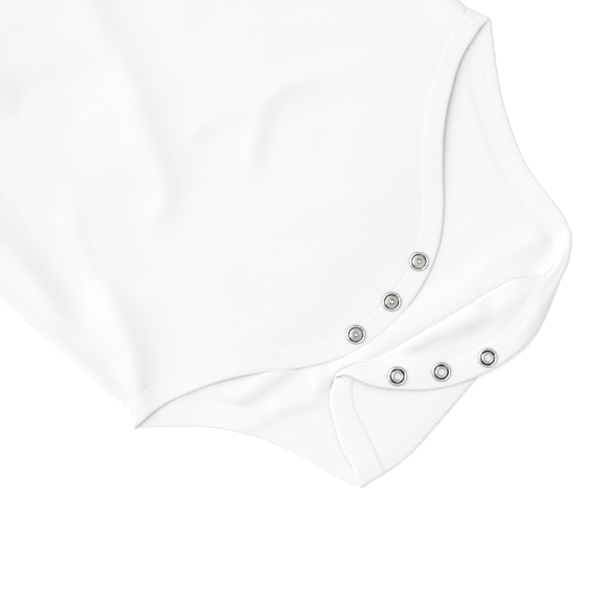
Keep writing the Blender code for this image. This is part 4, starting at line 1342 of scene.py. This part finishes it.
class BODYSUIT_OT_stitches(bpy.types.Operator):
    """Adds the twin-needle rows with their looper threads, and the neck's topstitch"""

    bl_idname = "bodysuit.stitches"
    bl_label = "Stitches"

    def execute(self, context):
        cloth, sewing = context.scene.bodysuit_cloth, context.scene.bodysuit_sewing
        for side in ("front", "back"):
            self.sew_leg_band(side, cloth, sewing)
        for side, name in ((1, "left"), (-1, "right")):
            self.sew_cuff(side, name, cloth, sewing)
        self.sew_neck(cloth, sewing)
        return {"FINISHED"}

    def sew_leg_band(self, side, cloth, sewing):
        upper, lower, _, normal = leg_band_faces(side, cloth)
        outer, inner, up = (upper, lower, normal) if side == "front" else (lower, upper, -normal)
        rows = (sewing.outer_row / MM, sewing.inner_row / MM)
        straight = [stitches_along(row_at(outer, row), row_at(up, row), sewing) for row in rows]
        dress(add_threads(f"{side}_leg_topstitch", straight, sewing), "rib")
        near, far = (row_at(inner, row) for row in rows)
        zigzag = [stitches_between(far, near, -row_at(up, rows[1]), sewing)]
        dress(add_threads(f"{side}_leg_coverstitch", zigzag, sewing), "rib")

    def sew_cuff(self, side, name, cloth, sewing):
        grid, cut = sleeve_grid(side)
        normal, _, _ = grid_normals(grid, ring=True)
        rows = []
        for row in (sewing.outer_row / MM, sewing.inner_row / MM):
            index = np.searchsorted(cut[0, :, 1], SLEEVE_TOP - row)
            up = side * normal[:, index]
            line = grid[:, index] + up * hem_wall(cut[:, index], cloth)[:, None] / 2
            rows.append(stitches_along(line, up, sewing))
        dress(add_threads(f"{name}_cuff_topstitch", rows, sewing), "jersey")

    def sew_neck(self, cloth, sewing):
        shares = np.linspace(-NECK_ROW_SHARE, NECK_ROW_SHARE, 160) * NECK_SHARE
        rows = []
        for drop, lay in ((FRONT_NECK_DROP, lay_front), (BACK_NECK_DROP, lay_back)):
            seam = top_edge(shares, drop)
            tangent = unit(np.gradient(seam, axis=0))
            flat = seam + NECK_ROW * np.stack([-tangent[:, 1], tangent[:, 0]], axis=1)
            line = lay(flat, PANEL_MIDDLE + cloth.jersey_wall / MM / 2, cloth.crease)
            upright = np.broadcast_to((0.0, 0.0, 1.0), line.shape)
            rows.append(stitches_along(line, upright, sewing))
        dress(add_threads("neck_topstitch", rows, sewing), "jersey")


# --- snaps ---

SNAP_PITCH = 22.6
STUD_DOWN, STUD_DIP = 49.7, 2.6  # flat place of the outer two, and how much further down the middle is
SOCKET_DOWN, SOCKET_DIP = 158.6, 2.2
SNAP_SINK = 0.2  # how far a snap half sinks into the band's cloth

# Profile of a turned piece, from its middle outwards over the face and back under it, with the
# share of painted shade at each place: dark colour in the grooves and on the disc, in place of shade and
# dark reflections
Turned = namedtuple("Turned", "radius height tarnish", defaults=(0.0,))
STUD_PROFILE = table(
    Turned,
    (0.12, 1.82), (0.34, 1.9), (0.52, 2.05), (0.72, 2.02, 0.2), (0.86, 1.82, 0.85),
    (0.88, 1.5, 1.0), (0.84, 1.15, 1.0), (0.98, 0.96, 0.9), (1.3, 0.9, 0.5), (1.9, 0.9, 0.35),
    (2.5, 0.84, 0.35), (2.95, 0.72, 0.5), (3.14, 0.46, 0.9), (3.26, 0.34, 1.0), (3.4, 0.36, 0.95),
    (3.52, 0.62, 0.4), (3.7, 0.86), (3.95, 0.93), (4.2, 0.88, 0.1), (4.4, 0.7, 0.7),
    (4.5, 0.4, 1.0), (4.45, 0.1, 1.0), (4.3, 0.0), (0.12, 0.0),
)
SOCKET_PROFILE = table(
    Turned,
    (1.72, 0.1, 0.5), (1.74, 0.7, 0.8), (1.84, 0.98, 0.6), (2.1, 1.16, 0.15), (2.4, 1.16, 0.2),
    (2.68, 1.02, 0.5), (2.86, 0.74, 0.8), (3.0, 0.4, 1.0), (3.2, 0.3, 1.0), (3.38, 0.36, 0.9),
    (3.52, 0.64, 0.4), (3.7, 0.9), (3.95, 0.97), (4.2, 0.92, 0.1), (4.4, 0.74, 0.7),
    (4.5, 0.4, 1.0), (4.45, 0.1, 1.0), (4.3, 0.0), (1.72, 0.0),
)
RING_PROFILE = table(
    Turned,
    (2.6, 0.25), (2.7, 0.42), (2.95, 0.5), (3.9, 0.5), (4.2, 0.42), (4.4, 0.2), (4.35, 0.0),
    (2.65, 0.0),
)


def add_turned(name, profile, spot, normal, material):
    """A turned metal piece at a spot of the lie, with its axis along the normal."""
    segments = 72
    turn = np.linspace(0, 2 * math.pi, segments, endpoint=False)
    radius = np.array([turned.radius for turned in profile])
    height = np.array([turned.height for turned in profile])
    side = unit(np.cross((0.0, 1.0, 0.0), normal))
    axes = np.array((side, np.cross(normal, side), normal))
    level = np.broadcast_to(height, (segments, len(profile)))
    points = np.stack([np.outer(np.cos(turn), radius), np.outer(np.sin(turn), radius), level], axis=-1)
    points = points @ axes + spot
    faces = grid_faces(segments, len(profile), wrap_rows=True, turned=True)
    # each profile place's share of painted shade, carried as a mesh attribute
    tarnish = np.array([turned.tarnish for turned in profile])
    labels = (("turned", np.tile(radius, segments)), ("tarnish", np.tile(tarnish, segments)))
    return add_mesh(name, points.reshape(-1, 3), faces, material, labels)


def snap_spots(down, dip, lay):
    """The middle of the band's cloth under each of three snap halves, and its normal."""
    for number, offset in enumerate((-1, 0, 1), 1):
        flat = np.array((offset * SNAP_PITCH, down + (dip if offset == 0 else 0.0)))
        step = 2.0
        middle = lay(flat)
        across = lay(flat + (step, 0.0)) - lay(flat - (step, 0.0))
        along = lay(flat - (0.0, step)) - lay(flat + (0.0, step))
        yield number, middle, unit(np.cross(across, along))


class BODYSUIT_OT_snaps(bpy.types.Operator):
    """Adds the studs on the front's tongue and the sockets on the flap, with their prong rings"""

    bl_idname = "bodysuit.snaps"
    bl_label = "Snaps"

    def execute(self, context):
        cloth, snaps = context.scene.bodysuit_cloth, context.scene.bodysuit_snaps
        nickel = the_material(nickel_material, snaps)
        face = cloth.band_wall / MM / 2 - SNAP_SINK
        size = snaps.diameter / MM / (2 * max(turned.radius for turned in STUD_PROFILE))
        kinds = (
            ("stud", STUD_PROFILE, STUD_DOWN, STUD_DIP, self.on_front),
            ("socket", SOCKET_PROFILE, SOCKET_DOWN, SOCKET_DIP, self.on_back),
        )
        for kind, profile, down, dip, lay in kinds:
            scaled = [turned._replace(radius=size * turned.radius) for turned in profile]
            for number, middle, normal in snap_spots(down, dip, lay):
                over, under = middle + normal * face, middle - normal * face
                half = add_turned(f"snap_{kind}_{number}", scaled, over, normal, nickel)
                dress(half, "snap_metal", f"{kind}_{number}")
                name = f"prong_{kind}_ring_{number}"
                ring = add_turned(name, RING_PROFILE, under, -normal, nickel)
                dress(ring, "snap_metal", f"{kind}_ring_{number}")
        return {"FINISHED"}

    def on_front(self, flat):
        return lay_front(flat, FRONT_BAND_MIDDLE, 1.0)

    def on_back(self, flat):
        return lay_back(flat, BAND_MIDDLE, 1.0)


# --- stage ---

# The picture: its middle on the lie, and the way that its right and upper edges point
PICTURE_MIDDLE = np.array((-31.7, -19.3, 0.0))
PICTURE_RIGHT = Vector((0.653, -0.757, 0.0)).normalized()
PICTURE_UP = Vector((0.757, 0.653, 0.0)).normalized()
SENSOR = 36.0  # millimetres
FLOOR_HALF, FLOOR_DROP = 6.0, 0.05 * MM  # metres; the drop keeps the floor clear of the underside
LAMP_WAY, LAMP_ANGLE = Vector((-0.35, 0.94, 0.84)), math.radians(80)  # from the middle to the lamp
ROOM_FULL, HORIZON_SHARE = 0.65, 0.25  # height from which the room is fully lit; share at its horizon


class BODYSUIT_OT_stage(bpy.types.Operator):
    """Adds the floor, the soft light and the camera that looks straight down"""

    bl_idname = "bodysuit.stage"
    bl_label = "Stage"

    def execute(self, context):
        scene = context.scene
        stage = scene.bodysuit_stage
        middle = Vector(in_metres(PICTURE_MIDDLE))
        self.add_floor(stage)
        self.add_camera(scene, stage, middle)
        self.add_light(scene, stage, middle)
        scene.view_settings.view_transform = "Standard"
        return {"FINISHED"}

    def add_floor(self, stage):
        corners = [(-1, -1), (1, -1), (1, 1), (-1, 1)]
        floor_points = [(FLOOR_HALF * x, FLOOR_HALF * y, -FLOOR_DROP) for x, y in corners]
        mesh = bpy.data.meshes.new("floor")
        mesh.from_pydata(floor_points, [], [(0, 1, 2, 3)])
        mesh.materials.append(paper_material(stage))
        floor = bpy.data.objects.new("floor", mesh)
        bpy.context.scene.collection.objects.link(floor)
        floor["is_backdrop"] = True

    def add_camera(self, scene, stage, middle):
        data = bpy.data.cameras.new("camera")
        data.lens = stage.lens
        data.sensor_width = SENSOR
        camera = bpy.data.objects.new("camera", data)
        turn = Matrix((PICTURE_RIGHT, PICTURE_UP, Vector((0, 0, 1)))).transposed()
        distance = stage.view_width * stage.lens / SENSOR
        camera.matrix_world = Matrix.Translation(middle + Vector((0, 0, distance))) @ turn.to_4x4()
        scene.collection.objects.link(camera)
        scene.camera = camera

    def add_light(self, scene, stage, middle):
        """A white room that is darker towards the horizon, and a wide soft light from one side."""
        world = bpy.data.worlds.new("white room")
        world.use_nodes = True
        tree = world.node_tree
        add = partial(add_node, tree)
        height = add("SeparateXYZ", {0: add("TexCoord").outputs["Generated"]}).outputs["Z"]
        least, most = HORIZON_SHARE * stage.room_light, stage.room_light
        spans = {"From Max": ROOM_FULL, "To Min": least, "To Max": most}
        strength = add("MapRange", spans | {"Value": height}).outputs[0]
        tree.links.new(strength, tree.nodes["Background"].inputs["Strength"])
        tree.nodes["Background"].inputs["Color"].default_value = (1, 1, 1, 1)
        scene.world = world
        data = bpy.data.lights.new("far softbox", "SUN")
        data.energy = stage.softbox
        data.angle = LAMP_ANGLE
        lamp = bpy.data.objects.new("far softbox", data)
        spot = middle + LAMP_WAY
        aim = (middle - spot).to_track_quat("-Z", "Y")
        lamp.matrix_world = Matrix.Translation(spot) @ aim.to_matrix().to_4x4()
        scene.collection.objects.link(lamp)


# --- add-on ---


class BODYSUIT_PT_pieces(bpy.types.Panel):
    """Lists the pieces and what can be set on them"""

    bl_idname = "BODYSUIT_PT_pieces"
    bl_label = "Baby Bodysuit"
    bl_space_type = "VIEW_3D"
    bl_region_type = "UI"
    bl_category = "Bodysuit"

    def draw(self, context):
        for group in GROUPS:
            box = self.layout.box()
            box.label(text=group.__name__.replace("Bodysuit", ""))
            settings = getattr(context.scene, setting_name(group))
            for name in group.__annotations__:
                box.prop(settings, name)
        for operator in OPERATORS:
            self.layout.operator(operator.bl_idname)


GROUPS = (BodysuitCloth, BodysuitSewing, BodysuitSnaps, BodysuitStage)
OPERATORS = (
    BODYSUIT_OT_front,
    BODYSUIT_OT_back,
    BODYSUIT_OT_sleeves,
    BODYSUIT_OT_neckband,
    BODYSUIT_OT_leg_bands,
    BODYSUIT_OT_stitches,
    BODYSUIT_OT_snaps,
    BODYSUIT_OT_stage,
)
CLASSES = (*GROUPS, *OPERATORS, BODYSUIT_PT_pieces)


def setting_name(group):
    """Name of a group's settings on the scene, such as bodysuit_cloth."""
    return group.__name__.replace("Bodysuit", "bodysuit_").lower()


def register():
    for cls in CLASSES:
        bpy.utils.register_class(cls)
    for group in GROUPS:
        setattr(bpy.types.Scene, setting_name(group), bpy.props.PointerProperty(type=group))


def unregister():
    for group in GROUPS:
        delattr(bpy.types.Scene, setting_name(group))
    for cls in reversed(CLASSES):
        bpy.utils.unregister_class(cls)


def plain(box):
    """A box as plain lists of numbers."""
    return [[float(value) for value in corner] for corner in box]


def main():
    """Makes every piece and the stage."""
    register()
    for operator in OPERATORS:
        group, name = operator.bl_idname.split(".")
        getattr(getattr(bpy.ops, group), name)()
    {"cad": plain(CAD_BOX), "visual": plain(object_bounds())}


if __name__ == "__main__":
    main()
